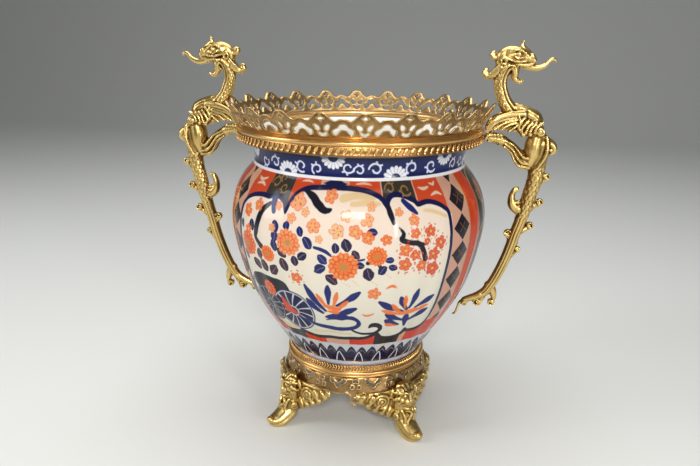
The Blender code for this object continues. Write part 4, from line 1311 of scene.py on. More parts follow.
def jar_mesh():
    """The jar with soft upright ribs, and its plain inside; angle and height are kept for the painting."""
    outside = jar_profile()
    lip = [(JAR_LIP_RADIUS, jar_high - 1.4), (JAR_LIP_RADIUS - 1.2, jar_high),
           (JAR_LIP_RADIUS - 5.0, jar_high), (JAR_LIP_RADIUS - 8.0, jar_high - 1.6)]
    inside = [(JAR_NECK_RADIUS - JAR_WALL, JAR_NECK_TOP + 2.0),
              (JAR_NECK_RADIUS - JAR_WALL, JAR_NECK_HEIGHT - 3)]
    body = [(r - JAR_WALL, z) for r, z in outside[::-1] if JAR_FLOOR + 12 < z < JAR_NECK_HEIGHT - 6]
    inside += body[::10]
    inside += [(JAR_FOOT_RADIUS - 10, JAR_FLOOR + 4), (JAR_FOOT_RADIUS - 22, JAR_FLOOR), (12, JAR_FLOOR)]
    under = [(12, jar_low + 6), (JAR_FOOT_RADIUS - 12, jar_low + 6), (JAR_FOOT_RADIUS - 8, jar_low)]
    profile = np.array([tuple(row) for row in outside] + lip + inside + under)
    front = np.linspace(-PANEL_HALF, PANEL_HALF, PANEL_COLUMNS, endpoint=False)
    side = np.linspace(PANEL_HALF, 180 - PANEL_HALF, BORDER_COLUMNS, endpoint=False)
    degrees = np.concatenate([front, side, front + 180, side + 180])
    angle = np.radians(degrees)
    share = np.clip((profile[:, 1] - jar_low) / (JAR_NECK_HEIGHT - jar_low), 0, 1)
    depth = RIB_DEPTH * np.sin(math.pi * share) ** 0.6
    depth[len(outside):] = 0.0
    radius = profile[None, :, 0] - depth[None, :] * (0.5 - 0.5 * np.cos(RIBS * angle))[:, None]
    points = np.stack([radius * np.sin(angle)[:, None], -radius * np.cos(angle)[:, None],
                       np.broadcast_to(profile[:, 1], radius.shape)], -1)
    columns, rows = radius.shape
    here = np.arange(columns)[:, None] * rows
    there = np.roll(here, -1, 0)
    floor_rim = len(outside) + len(lip) + len(inside) - 1
    low = np.delete(np.arange(rows - 1), floor_rim)[None, :]
    faces = np.stack([here + low, there + low, there + low + 1, here + low + 1], -1).reshape(-1, 4)
    last = rows - 1
    seam = np.stack([here[:, 0] + last, there[:, 0] + last, there[:, 0], here[:, 0]], -1)
    caps = [(here[:, 0] + row).tolist() for row in (floor_rim, floor_rim + 1)]
    mesh = bpy.data.meshes.new("jar")
    mesh.from_pydata((points.reshape(-1, 3) * MM).tolist(), [], np.concatenate([faces, seam]).tolist() + caps)
    angles = np.repeat(degrees, rows)
    heights = np.tile(profile[:, 1], columns)
    painted = np.tile(np.arange(rows) < len(outside), columns)
    return mesh, angles, heights, painted


def outward(mesh):
    flat = bmesh.new()
    flat.from_mesh(mesh)
    bmesh.ops.recalc_face_normals(flat, faces=flat.faces[:])
    flat.to_mesh(mesh)
    flat.free()


# The painting, the same on front and back: degrees from the panel's middle, heights and widths in mm

FAR = 30.0
PANEL_EDGE = [(47.6, 150), (48, 200), (47.8, 246), (45.8, 255), (41.6, 260), (37.6, 261.4), (33.4, 260.2),
              (31.4, 264), (27, 268), (22.8, 268.4), (20, 260), (17, 267.4), (11, 272.4), (2, 274),
              (-8, 273.4), (-15, 271.4), (-19.4, 264), (-22, 250), (-24.4, 259), (-28.5, 262.5),
              (-32.5, 260.5), (-38, 260.5), (-44, 257.6), (-48, 251.6), (-49.8, 241), (-50.4, 200),
              (-50.4, 150), (-48.4, 139), (-43.5, 131.5), (-39, 125), (-33, 121.5), (-26, 123),
              (-22.5, 126.5), (-16, 122.5), (-6, 124), (6, 124.5), (14, 126), (19.5, 131.5), (22.5, 125.5),
              (28, 123.5), (32.5, 127), (34.5, 133.5), (37, 130.5), (41, 130), (44.8, 133), (47, 139)]
INK = [[(-31, 257, 2.2), (-34.5, 250, 3.2), (-36.5, 240, 3.8), (-37.5, 230, 3.6), (-38, 222, 2.6),
        (-34.5, 215, 3.4)], [(-15, 272, 1.5), (-11, 268, 3.2), (-8, 262, 3.6), (-5, 257.5, 3.0),
                             (-2.6, 258.5, 1.6)], [(20.4, 263, 2.4), (21.4, 255, 2.6), (22.4, 248, 1.8)],
       [(24.5, 244, 0.8), (26.4, 238, 1.8), (25.6, 233, 2.6), (29, 229.5, 2.4), (32.6, 228, 2.6),
        (34.8, 221, 2.6), (36.2, 212, 3.0)], [(32.6, 228, 2.2), (36.4, 226.4, 0.8)],
       [(12.6, 212, 2.2), (15, 214, 2.0), (17.2, 209, 1.6), (18.4, 201, 1.8)],
       [(15, 138, 1.2), (16.4, 141, 2.8), (19.6, 140, 2.8), (20.6, 135, 2.0), (18, 130, 1.6),
        (13, 129.4, 1.6), (8, 132, 1.4), (5, 137, 1.2)],
       [(-49, 172, 2.4), (-50, 160, 3.2), (-49.4, 148, 3.0), (-47, 141, 1.6)]]
COBALT = [[(-29.6, 267, 3.0), (-29, 259, 3.4), (-28.2, 251, 2.6)],
          [(27.2, 266, 2.0), (30, 260, 2.8), (32.4, 255, 1.4)],
          [(-8.4, 224.4, 1.5), (-4.2, 221.6, 1.9), (-1.6, 217.6, 1.1)],
          [(8.4, 214.2, 1.0), (11, 215.4, 1.2)],
          [(-20, 143.4, 1.2), (-14, 139, 1.9), (-6, 136, 2.6), (2, 135.4, 2.6), (7, 137.2, 2.4),
           (9.6, 142, 2.2), (9, 147.4, 2.0), (6, 150.4, 2.6), (3.2, 149.2, 1.2)],
          [(-6, 146, 0.8), (-1, 149, 1.1), (3.4, 150.6, 0.9)]]
BLADES = (((-7, 154), (-13.8, 168.4)), ((-5.6, 157), (-14, 184)), ((-4, 166), (-3.8, 186)),
          ((-0.4, 165), (9.6, 181)), ((-5, 151), (8.2, 162.4)), ((-6, 149.5), (5, 151.4)),
          ((30.4, 156), (18.4, 169.6)), ((31, 145), (22.2, 154.8)), ((30, 139), (22.4, 147)),
          ((32, 158), (28, 173)), ((33, 160), (35.8, 179.4)), ((36, 159), (44.8, 169)),
          ((34, 144), (43.6, 153.8)), ((33.4, 137), (32.6, 152)))
FLAMES = (((-4, 160), (-9, 176)), ((-2, 163), (0.2, 180)), ((-1, 160), (4.6, 170.6)),
          ((-5, 157), (0.4, 157)), ((31, 152), (20, 159.8)), ((34, 153), (43.2, 159.2)),
          ((31, 160), (30.2, 174)), ((29, 138), (22.8, 141.6)), ((30, 154), (24.4, 166)))
DARK_CLOUD = [(-47.5, 172), (-45, 181), (-38, 184), (-30, 183.6), (-24.5, 182), (-22.4, 176), (-21.4, 168),
              (-23, 160), (-30, 157), (-38, 160), (-44, 165)]
GOLD_CLOUDS = [[(2, 268, 3.4), (8, 270.5, 2.8), (14.5, 269, 2.6)],
               [(6, 263.5, 2.2), (12, 265, 2.4), (17, 264, 1.6)],
               [(36, 257, 1.2), (41, 254.6, 1.8), (46.6, 249, 1.4)],
               [(-38, 127.5, 2.6), (-30, 125.4, 3.0), (-25.6, 128, 1.6)],
               [(-14, 128.6, 1.0), (-4, 130.2, 1.4), (6, 128.4, 1.0)]]
RUST = [[(-6, 163, 1.6), (-2.4, 162, 2.6), (1, 161, 1.6)],
        [(29, 153, 1.4), (32.4, 154.6, 2.8), (37, 157, 1.6)],
        [(10.8, 156.4, 0.6), (13.4, 153.8, 1.3), (16.6, 156.2, 0.6)],
        [(20.6, 184.6, 0.6), (23, 187.4, 1.6), (25.4, 184.4, 0.6)], [(2.8, 191, 0.3), (5.6, 187.4, 0.5)],
        [(6, 194.6, 0.3), (9.6, 188, 0.5)], [(12.4, 196, 0.3), (16.6, 189, 0.5)],
        [(18.8, 202, 0.3), (22.6, 195.6, 0.5)]]
# Angle, height, size, turn and tint of each mark; the tint runs from pale or blue at 0 to red or plum at 1
BLOOMS = [(3, 207.5, 15, 0, 0.45), (-20, 225, 13.5, 20, 0.28), (-44.2, 213, 13.5, 0, 0.62),
          (-31.2, 209, 9, 0, 0.5), (16, 218, 10, 30, 0.5), (-35, 170, 9, 0, 0.75)]
BLOSSOMS = [(-17.4, 263, 10.5, 0, 0.25), (-9, 243.4, 8.5, 20, 0.3), (-19, 248, 6.5, 0, 0.25),
            (0.4, 240.6, 9, 40, 0.1), (7.6, 240.6, 8.5, 0, 0.35), (12, 251, 8, 10, 0.2),
            (-3, 269.6, 8, 0, 0.4), (-44.4, 246, 8.5, 0, 0.5), (-37.6, 253.6, 8, 20, 0.45),
            (24.8, 257, 5.5, 0, 0.3), (31, 249.6, 7, 15, 0.4), (12.4, 235.4, 8, 0, 0.45),
            (19.4, 233.4, 6.5, 30, 0.5), (31.4, 237.6, 6.5, 0, 0.6), (38.2, 238, 7.5, 20, 0.7),
            (43, 226.4, 8, 0, 0.75), (27.2, 222.6, 8, 0, 0.55), (31.6, 217, 7, 40, 0.65),
            (40.2, 216, 8.5, 10, 0.75), (27.6, 208.4, 8.5, 0, 0.65), (34.8, 205.6, 7.5, 30, 0.6),
            (40.6, 200.4, 9, 0, 0.8), (-17.4, 190.4, 7.5, 0, 0.6), (15.8, 179.4, 8, 0, 0.45),
            (-28, 236, 5.5, 0, 0.2), (36.4, 229, 4.5, 0, 0.75), (-26, 256.6, 5.5, 0, 0.35),
            (-43, 228, 6.5, 20, 0.5), (-6.6, 232, 5, 0, 0.12), (14, 262, 5.5, 10, 0.16),
            (-13, 255, 6, 0, 0.15), (4, 254, 7, 0, 0.14)]
LEAVES = [(-26.4, 238, 6, 15, 0), (-26.6, 229, 6, -10, 0), (-27, 219.6, 6, 10, 0.1),
          (-20.8, 240.4, 5, 0, 0), (-14.6, 237.4, 5, 20, 0), (-11.2, 228, 6.5, 30, 0.1),
          (-13.8, 214, 6, -50, 0.3), (-23.2, 214, 6.5, 60, 0.9), (-5.4, 213.4, 6, 40, 0),
          (-6.6, 203.4, 6.5, -60, 0.1), (-22.8, 202, 7, 20, 0.8), (-1.8, 193.8, 7, 50, 0.7),
          (0, 225.4, 5, 0, 0.2), (4.2, 228.4, 6.5, 15, 0.4), (7.8, 219.6, 5, 40, 0.7),
          (21, 214.2, 4.6, 90, 0), (13, 200.4, 7, 20, 0.5), (-34.4, 195, 7, 30, 0.8),
          (-29, 193, 7, -40, 0.8), (-39.6, 194, 7, 50, 0.7), (-40.8, 233, 6, 10, 0.2),
          (14, 240.4, 5, 80, 0), (-36.6, 206, 6, 0, 0.9), (-48.4, 231, 5, 0, 0.3),
          (-47.6, 199.6, 6, 30, 0.8), (9.4, 209.6, 4.6, 80, 0.2), (18.4, 204, 5.4, -40, 0.15),
          (22.6, 206.6, 4.6, 70, 0.1), (-17.4, 208, 5.4, 10, 0.5)]
WHEELS = [(-23.2, 150, 24, 0, 0), (-39.4, 149, 20, 0, 1)]
DAISIES = [(-28.4, 283.4, 12.5, 0, 0), (26, 283.4, 12.5, 0, 0), (-3.6, 303, 12, 0, 0), (54.5, 303, 12, 0, 0),
           (-58, 303, 12, 0, 0), (82, 283.4, 12.5, 0, 0)]
CURLS = [(-32.4, 275, 6, 20, 1), (-26.4, 271.6, 5, 160, 1), (22.4, 276, 5.4, 10, 1),
         (29.4, 274.4, 6, 150, 1), (-29, 279.6, 4, 80, 1), (-46, 291, 6.4, 200, 0), (-37, 292, 7.04, 0, 0),
         (-20, 292.6, 7.04, 120, 0), (-11.6, 291, 6.4, 60, 0), (3.4, 293.4, 6.4, 180, 0),
         (8.6, 291.4, 5.89, 20, 0), (16.2, 292.2, 7.04, 0, 0), (34.2, 292.6, 7.04, 60, 0),
         (45.4, 292.8, 7.04, 150, 0), (63, 291, 6.4, 30, 0), (72, 292, 6.4, 160, 0), (-66, 291, 6.4, 40, 0),
         (-75, 292.4, 6.4, 170, 0), (-85, 292, 6.4, 0, 0)]
RED_PANELS = ((-49, -36), (-22, -9), (4.2, 18.2), (34, 48.4))
DARK_PANELS = ((-36, -22), (18.8, 33.4))
LOW_RED_PANELS = ((-61, -37), (-22.4, -9), (4.6, 20), (37, 61))
FLORETS = [[(-46.4, 276, 0.7), (-43.6, 274.4, 1.3), (-40.2, 276.4, 0.8)],
           [(-45, 270.6, 0.7), (-41.4, 272, 1.2), (-38.6, 269.8, 0.6)],
           [(-18.6, 279, 0.5), (-15.4, 280, 0.9), (-12.6, 278.8, 0.5)],
           [(7.4, 279.4, 0.5), (11, 280.2, 0.9), (14.4, 278.8, 0.5)],
           [(36, 275.4, 0.6), (38.4, 274, 1.3), (41.4, 275, 0.7)],
           [(42.8, 277.8, 0.7), (44.6, 276.4, 1.1), (46, 278.6, 0.6)],
           [(41.4, 268.2, 0.6), (44.6, 270, 1.3), (47, 267.6, 0.7)]]


class Canvas:
    """The outside of the jar laid flat, on which gaps to painted shapes are measured in millimetres."""

    def __init__(self, mesh, angles, heights, painted):
        self.mesh = mesh
        self.painted = painted
        self.across = (angles[painted] + 90) % 180 - 90
        self.up = heights[painted]
        profile = jar_profile()
        self.scale = np.radians(np.interp(self.up, profile[:, 1], profile[:, 0]))
        self.count = len(angles)

    def path_gap(self, rows, reach=12.0):
        """Distance to the edge of a stroke of (angle, height, half width)."""
        gap = np.full(len(self.up), FAR)
        rows = np.array([tuple(row) + (0.0,) * (3 - len(row)) for row in rows])
        side = reach + rows[:, 2].max()
        near = np.flatnonzero((self.across > rows[:, 0].min() - side / 1.2)
                              & (self.across < rows[:, 0].max() + side / 1.2)
                              & (self.up > rows[:, 1].min() - side) & (self.up < rows[:, 1].max() + side))
        across, up, scale = self.across[near], self.up[near], self.scale[near]
        best = gap[near]
        for (a, b, wide), (c, d, next_wide) in zip(rows, rows[1:]):
            start_x, start_y = (a - across) * scale, b - up
            step_x, step_y = (c - a) * scale, d - b
            t = np.clip(-(start_x * step_x + start_y * step_y) / (step_x ** 2 + step_y ** 2 + 1e-9), 0, 1)
            best = np.minimum(best, np.hypot(start_x + step_x * t, start_y + step_y * t) - wide
                              - (next_wide - wide) * t)
        gap[near] = best
        return gap

    def strokes_gap(self, strokes):
        gap = np.full(len(self.up), FAR)
        for stroke in strokes:
            gap = np.minimum(gap, self.path_gap(smooth_curve(stroke, 4)))
        return gap

    def area_gap(self, outline):
        """Distance to an area's edge, negative inside it."""
        loop = smooth_curve(outline, 4, closed=True)
        loop = np.concatenate([loop, loop[:1]])
        gap = self.path_gap(loop, FAR)
        inside = np.zeros(len(self.up), bool)
        for (a, b), (c, d) in zip(loop, loop[1:]):
            if b != d:
                crossing = a + (self.up - b) * (c - a) / (d - b)
                inside ^= ((b > self.up) != (d > self.up)) & (self.across < crossing)
        return np.where(inside, -gap, gap)

    def keep(self, name, values):
        """Store values of the outside; the inside stays far from everything painted."""
        shape = (self.count,) if values.ndim == 1 else (self.count, values.shape[1])
        whole = np.full(shape, FAR)
        whole[self.painted] = values
        store(self.mesh, name, whole)

    def stamp(self, name, marks, room):
        """Store the nearest mark's own coordinates, for each layer of marks that keep clear of each other."""
        layers = []
        for mark in marks:
            for layer in layers:
                if all(math.hypot((mark[0] - other[0]) * 2.1, mark[1] - other[1]) > room
                       * (mark[2] + other[2]) + 3.5 for other in layer):
                    layer.append(mark)
                    break
            else:
                layers.append([mark])
        for number, layer in enumerate(layers):
            best = np.full(len(self.up), FAR)
            local = np.full((len(self.up), 3), FAR)
            for angle, height, size, turn, tint in layer:
                scale = self.scale[np.argmin(np.abs(self.up - height))]
                x, y = (self.across - angle) * scale / size, (self.up - height) / size
                near = np.hypot(x, y)
                lean = math.radians(turn)
                closer = near < best
                best = np.where(closer, near, best)
                u, v = x * math.cos(lean) + y * math.sin(lean), y * math.cos(lean) - x * math.sin(lean)
                local[closer] = np.stack([u, v, np.full(len(u), tint)], 1)[closer]
            self.keep(f"{name}_{number}", local)
            self.keep(f"{name}_near_{number}", best)
        return len(layers)


def blade(foot, tip, half):
    """A leaf blade that bends outwards, widest past its middle."""
    across, along = tip[0] - foot[0], tip[1] - foot[1]
    return [(*foot, 0.6 * half), (foot[0] + 0.44 * across, foot[1] + 0.36 * along, 1.2 * half),
            (foot[0] + 0.74 * across, foot[1] + 0.68 * along, 1.7 * half), (*tip, 0.75 * half)]


def paint_marks(mesh, angles, heights, painted):
    canvas = Canvas(mesh, angles, heights, painted)
    blades = [blade(foot, tip, 2.1) for foot, tip in BLADES]
    flames = [blade(foot, tip, 1.4) for foot, tip in FLAMES]
    canvas.keep("panel", canvas.area_gap(PANEL_EDGE))
    canvas.keep("ink", np.minimum(canvas.strokes_gap(INK), canvas.area_gap(DARK_CLOUD)))
    canvas.keep("cobalt", canvas.strokes_gap(COBALT + blades))
    canvas.keep("rust", canvas.strokes_gap(RUST + flames))
    canvas.keep("gold", canvas.strokes_gap(GOLD_CLOUDS))
    canvas.keep("floret", canvas.strokes_gap(FLORETS))
    return {name: canvas.stamp(name, marks, room)
            for name, marks, room in (("bloom", BLOOMS, 1.05), ("blossom", BLOSSOMS, 1.25),
                                      ("leaf", LEAVES, 1.0), ("wheel", WHEELS, 0.8),
                                      ("daisy", DAISIES, 1.0), ("curl", CURLS, 1.15))}


# Colours of the painting
WHITE = (0.68, 0.63, 0.53)
BLUSH = (0.52, 0.28, 0.20)
NAVY = (0.007, 0.009, 0.050)
BLUE = (0.011, 0.020, 0.125)
BLACK = (0.010, 0.009, 0.016)
PLUM = (0.055, 0.022, 0.040)
RED = (0.50, 0.055, 0.015)
ORANGE = (0.68, 0.15, 0.024)
SALMON = (0.74, 0.34, 0.16)
DEEP_RED = (0.50, 0.030, 0.010)
GILDING = (0.38, 0.21, 0.060)
OLIVE = (0.034, 0.028, 0.022)
WHITE_CLOUD = (0.62, 0.54, 0.44)
HONEY = (0.66, 0.46, 0.24)
HEART_GOLD = (0.62, 0.40, 0.12)
VEIN = (0.30, 0.24, 0.22)
SPOKE = (0.55, 0.55, 0.60)
PALE_BLUE = (0.60, 0.64, 0.80)
DAISY_WHITE = (0.68, 0.70, 0.76)
COOL_WHITE = (0.72, 0.72, 0.76)
CROSS_BROWN = (0.22, 0.09, 0.035)
MEDAL_RED = (0.36, 0.085, 0.03)
FLORET_CREAM = (0.66, 0.50, 0.36)
LAPPET_GREY = (0.48, 0.49, 0.52)
LAPPET_BLUE = (0.25, 0.27, 0.36)
ARCH_GREY = (0.62, 0.64, 0.70)
FOOT_BLUE = (0.16, 0.20, 0.42)
MIST = (0.56, 0.56, 0.48)
WARM_SKY = (0.72, 0.60, 0.50)
CLOUD_GOLD = (0.62, 0.42, 0.18)
INK_WASH = (0.62, 0.62, 0.62)
INNER_WHITE = (0.80, 0.80, 0.76)


# Bands of the painting: heights in millimetres, spans in degrees from the middle of the picture
NECK_BAND = (284.4, 303.0)
NECK_LINE = (281.8, 284.4)
TOP_ZONE = (250.0, 282.0)
SIDE_ZONE = (112.0, 282.0)
LOW_ZONE = (111.0, 135.0)
LAPPET_TOP = 112.4
FOOT_LINE = (78.4, 79.8)
CHAIN_SPAN = (50.0, 62.2)
STRIPE_SPAN = (62.2, 73.0)
OLIVE_SPAN = (73.0, 91.0)
CHAIN_START = 262.0
LOZENGE_HEIGHT = 26.4


def polar(u, v):
    return (u * u + v * v).calc("SQRT"), v.calc("ARCTAN2", u)


def marks_of(finish, name, layers, loose=0.0):
    """For each layer: gap to the nearest mark, its tint, and two coordinates, unsteady as from a brush."""
    for number in range(layers):
        near = finish.attribute(f"{name}_near_{number}")
        u, v, tint = finish.parts(finish.attribute(f"{name}_{number}", "Vector"))
        if loose:
            u = u + (finish.noise(150.0, 2.0) - 0.5) * loose
            v = v + (finish.noise(190.0, 2.0) - 0.5) * loose
        yield near, u, v, tint


def draw_blooms(finish, layers):
    for near, u, v, tint in marks_of(finish, "bloom", layers, 0.30):
        reach, angle = polar(u, v)
        edge = angle.waves(7.0) * 0.13 + 0.83
        petals = (reach - edge).step(0, 0.04) * near.step(1.05, 0.02)
        fill = finish.ramp(tint, (0.0, SALMON), (0.5, ORANGE), (1.0, DEEP_RED))
        finish.lay(fill, petals)
        seam = angle.waves(7.0).step(0.20, 0.12) * (-reach).step(-0.5, 0.04)
        ring = (angle.waves(5.0) * 0.12 + 0.46 - reach).abs().step(0.035, 0.02)
        inner = angle.waves(5.0).step(0.2, 0.12) * reach.within(0.24, 0.46, 0.03)
        lines = seam.high(ring).high(inner) * petals
        finish.lay(DEEP_RED, lines * 0.75)
        shine = (reach.within(0.62, 0.78, 0.08) * (angle * 7.0).sin().abs().step(0.55, 0.25)) * petals
        finish.lay(SALMON, shine * 0.6)
        finish.lay(GILDING, reach.step(0.22, 0.03) * petals * 0.85)


def draw_blossoms(finish, layers):
    for near, u, v, tint in marks_of(finish, "blossom", layers, 0.55):
        reach, angle = polar(u, v)
        edge = angle.waves(2.5) ** 0.6 * 0.30 + 0.50
        near_mark = near.step(1.3, 0.02)
        petals = (reach - edge).step(0, 0.06) * near_mark
        fill = finish.ramp(tint, (0.0, HONEY), (0.2, SALMON), (0.5, ORANGE), (0.9, DEEP_RED))
        finish.lay(fill, petals * 0.92)
        rim = (edge - reach).within(0.0, 0.09, 0.04) * petals
        spots = (angle * 5.0).cos().step(-0.55, 0.2) * reach.within(0.24, 0.42, 0.05)
        finish.lay(DEEP_RED, (rim * 0.55).high(spots * 0.7) * near_mark)
        finish.lay(HEART_GOLD, reach.step(0.16, 0.04) * near_mark)
        dots = (angle * 7.0).cos().step(-0.6, 0.25) * reach.within(0.96, 1.12, 0.05)
        finish.lay(RED, dots * (-tint).step(-0.52, 0.02) * near_mark * 0.9)


def draw_leaves(finish, layers):
    for near, u, v, tint in marks_of(finish, "leaf", layers, 0.45):
        half = (1.0 - v * v).high(0.0) ** 0.7 * 0.72
        blade_gap = u.abs() - half
        mask = blade_gap.step(0, 0.06) * near.step(1.0, 0.05)
        finish.lay(finish.ramp(tint, (0.0, BLUE), (0.3, NAVY), (1.0, PLUM)), mask)
        vein = u.abs().step(0.05, 0.04) * v.abs().step(0.75, 0.1)
        finish.lay(VEIN, vein * mask * 0.5)


def draw_wheels(finish, layers):
    for near, u, v, tint in marks_of(finish, "wheel", layers):
        reach, angle = polar(u, v)
        disc = near.step(1.0, 0.02)
        finish.lay(finish.layer(NAVY, BLACK, tint * 0.7), disc)
        spokes = (angle * 13.0 + reach * 2.0).cos().within(0.84, 1.1, 0.08) * reach.within(0.24, 0.90, 0.03)
        tyre = reach.within(0.90, 0.945, 0.02)
        hub = (reach - 0.24).abs().step(0.03, 0.02)
        lines = spokes.high(tyre).high(hub) * disc
        finish.lay(SPOKE, lines * (0.9 - tint * 0.5))
        wedge = ((v + u * 0.5).abs() + u * 0.55).step(0.16, 0.03) * (u + 0.08).abs().step(0.40, 0.02)
        red = wedge * (1.0 - tint) * disc
        finish.lay(RED, red.calc("MINIMUM", 1.0, clamp=True))


def draw_neck(finish, height, marks):
    band = height.within(*NECK_BAND, 0.4)
    finish.lay(finish.layer(NAVY, BLUE, finish.noise(60.0)), band)
    for near, u, v, tint in marks_of(finish, "curl", marks["curl"], 0.3):
        reach, angle = polar(u, v)
        curl = (reach - (angle * 0.09 + 0.60)).abs().step(0.12, 0.05) * near.step(1.0, 0.04)
        tail = ((u - 0.55) * (u - 0.55) + (v - 1.0) * (v - 1.0)).calc("SQRT")
        hook = (tail - 0.45).abs().step(0.12, 0.05) * near.step(1.1, 0.04)
        gold = finish.layer(PALE_BLUE, GILDING, tint)
        finish.lay(gold, curl.high(hook) * band.high(tint) * (0.95 - tint * 0.4))
    for near, u, v, tint in marks_of(finish, "daisy", marks["daisy"]):
        reach, angle = polar(u, v)
        edge = angle.waves(8.0) ** 0.6 * 0.20 + 0.76
        petals = (reach - edge).step(0, 0.05) * near.step(1.05, 0.04) * (-reach).step(-0.40, 0.03)
        seam = angle.waves(8.0).step(0.16, 0.1)
        finish.lay(DAISY_WHITE, petals * band)
        finish.lay(BLUE, seam * petals * band * 0.8)
    # Painted shadow of the rim band: the top of the neck darkened towards black.
    shade = height.within(300.6, 304.0, 1.2)
    finish.lay(BLACK, shade * 0.7)
    finish.lay(COOL_WHITE, height.within(*NECK_LINE, 0.3))


def draw_sides(finish, side, height):
    """Chains of lozenges, a red stripe and an olive panel, between the two pictures."""
    away = side.abs()
    body = height.within(*SIDE_ZONE, 0.4)
    chain_zone = away.within(*CHAIN_SPAN, 0.2) * body
    finish.lay(BLUSH, chain_zone)
    u = (away - 56.2).abs() / 5.7
    v = (height - CHAIN_START).fold(LOZENGE_HEIGHT).abs() / (LOZENGE_HEIGHT / 2)
    lozenge = (u + v).step(0.97, 0.04) * chain_zone
    finish.lay(BLACK, lozenge)
    cross = (u - v).abs().step(0.05, 0.04) * (u + v).step(0.66, 0.04) * chain_zone
    finish.lay(CROSS_BROWN, cross * 0.6)
    stripe = away.within(*STRIPE_SPAN, 0.2) * body
    finish.lay(finish.layer(RED, DEEP_RED, finish.noise(24.0).calc("MULTIPLY", 1.4, clamp=True)), stripe)
    edges = (away - 62.4).abs().step(0.35, 0.15).high((away - 72.8).abs().step(0.45, 0.15)) * body
    finish.lay(GILDING, edges)
    olive = away.within(*OLIVE_SPAN, 0.2) * body
    finish.lay(OLIVE, olive)
    row = (height - CHAIN_START).fold(2 * LOZENGE_HEIGHT) / 9.0
    reach, angle = polar((away - 82.5) / 4.3, row)
    medal = (reach - (angle.waves(4.0) * 0.25 + 0.95)).step(0.0, 0.06) * olive
    finish.lay(MEDAL_RED, medal)
    scroll = (reach - (angle * 0.16 + 1.9)).abs().step(0.12, 0.06) * olive
    finish.lay(GILDING, scroll.high((reach - 0.55).abs().step(0.08, 0.05) * olive) * 0.9)


def stripes(side, spans):
    """1 inside any of the (low, high) spans of the angle."""
    total = side.within(*spans[0], 0.15)
    for span in spans[1:]:
        total = total.high(side.within(*span, 0.15))
    return total


def draw_panels(finish, side, height):
    """Coloured panels over and under the picture, which covers the rest of them."""
    over = height.within(*TOP_ZONE, 0.4)
    under = height.within(*LOW_ZONE, 0.4)
    red = stripes(side, RED_PANELS) * over
    low_red = stripes(side, LOW_RED_PANELS) * under
    dark = stripes(side, DARK_PANELS)
    finish.lay(BLUSH, (over + under).calc("MULTIPLY", side.abs().step(50.0, 0.2), clamp=True))
    finish.lay(RED, red)
    finish.lay(DEEP_RED, low_red)
    finish.lay(OLIVE, dark * over)
    finish.lay(BLACK, dark * under)
    gem = ((side + 2.2).abs() / 5.6 + (height - 279.0).abs() / 5.0).step(1.0, 0.08)
    finish.lay(NAVY, gem)
    finish.lay(FLORET_CREAM, finish.attribute("floret").step(0.0, 0.35) * 0.9)


def draw_foot(finish, turn, height):
    """Scalloped lappets with pointed arches, a pale line over them and one blue line at the foot."""
    zone = height.step(LAPPET_TOP, 0.3)
    finish.lay(LAPPET_GREY, zone)
    tooth = (turn + 1.0).fold(6.6667).abs() / 3.3333
    top = (1.0 - tooth ** 1.6) * 9.0 + 100.0
    dark = (height - top).step(0.0, 0.5) * (-height).step(-84.4, 0.4)
    finish.lay(finish.layer(NAVY, BLACK, 0.35), dark)
    inner = ((1.0 - tooth ** 1.4) * 7.0 + 96.5 - height).abs().step(0.45, 0.3) * tooth.step(0.72, 0.1)
    finish.lay(LAPPET_BLUE, inner * dark * 0.7)
    arch = (turn + 16.0).fold(13.3333).abs() / 3.1
    line = (height - (1.0 - arch.low(1.4) ** 1.5) * 14.0 - 86.0).abs() / (arch * 3.2 + 1.2)
    arches = line.step(0.62, 0.22) * arch.step(1.12, 0.06) * (-height).step(-85.0, 0.4)
    finish.lay(ARCH_GREY, arches)
    blue_line = height.within(*FOOT_LINE, 0.3)
    finish.lay(FOOT_BLUE, blue_line * 0.8)


def porcelain(marks):
    """White glaze with the painting in cobalt, iron red and gold on the outside."""
    finish = Finish("porcelain")
    x, y, z = finish.parts(Wire(finish.tree, finish.place))
    turn = x.calc("ARCTAN2", -y) * (360 / TAU)
    side = turn.fold(180.0)
    height = z / MM
    wobble = (finish.noise(210.0, 2.0) - 0.5) * 1.1
    height_drawn = height + wobble
    side_drawn = side + wobble * 0.4

    finish.colour = finish.layer(WHITE, WHITE_CLOUD, finish.noise(14.0, 2.0))
    draw_sides(finish, side_drawn, height_drawn)
    draw_panels(finish, side_drawn, height_drawn)

    panel = finish.attribute("panel") + wobble * 0.5
    border = finish.ramp((height - 115.0) / 150.0, (0.05, BLACK), (0.25, NAVY), (0.9, NAVY))
    finish.lay(border, panel.step(4.4, 0.35))
    blush = finish.ramp((height - 110.0) / 160.0, (0.0, MIST), (0.5, WHITE), (0.85, WARM_SKY))
    inside = panel.step(0.0, 0.35)
    finish.lay(blush, inside)
    gold = finish.attribute("gold").step(0.0, 0.7) * inside
    finish.lay(CLOUD_GOLD, gold * 0.75)
    ground = finish.colour
    finish.lay(INK_WASH, (finish.attribute("ink") + wobble).step(1.6, 0.3) * inside * 0.35)
    finish.lay(BLACK, (finish.attribute("ink") + wobble * 0.8).step(0.0, 0.4))
    draw_wheels(finish, marks["wheel"])
    finish.lay(BLUE, (finish.attribute("cobalt") + wobble * 0.6).step(0.0, 0.35))
    finish.lay(ORANGE, (finish.attribute("rust") + wobble * 0.6).step(0.0, 0.35) * 0.95)
    draw_leaves(finish, marks["leaf"])
    draw_blossoms(finish, marks["blossom"])
    draw_blooms(finish, marks["bloom"])
    finish.colour = finish.layer(ground, finish.colour, panel.step(1.2, 0.3))
    draw_foot(finish, turn, height_drawn)
    draw_neck(finish, height, marks)
    inner_wall = (-finish.attribute("inner")).step(-0.5, 0.1)
    finish.lay(INNER_WHITE, inner_wall)
    return finish.set(base_color=finish.colour, roughness=0.16, specular_ior_level=0.22, coat_weight=0.12,
                      coat_roughness=0.06)


# The pieces

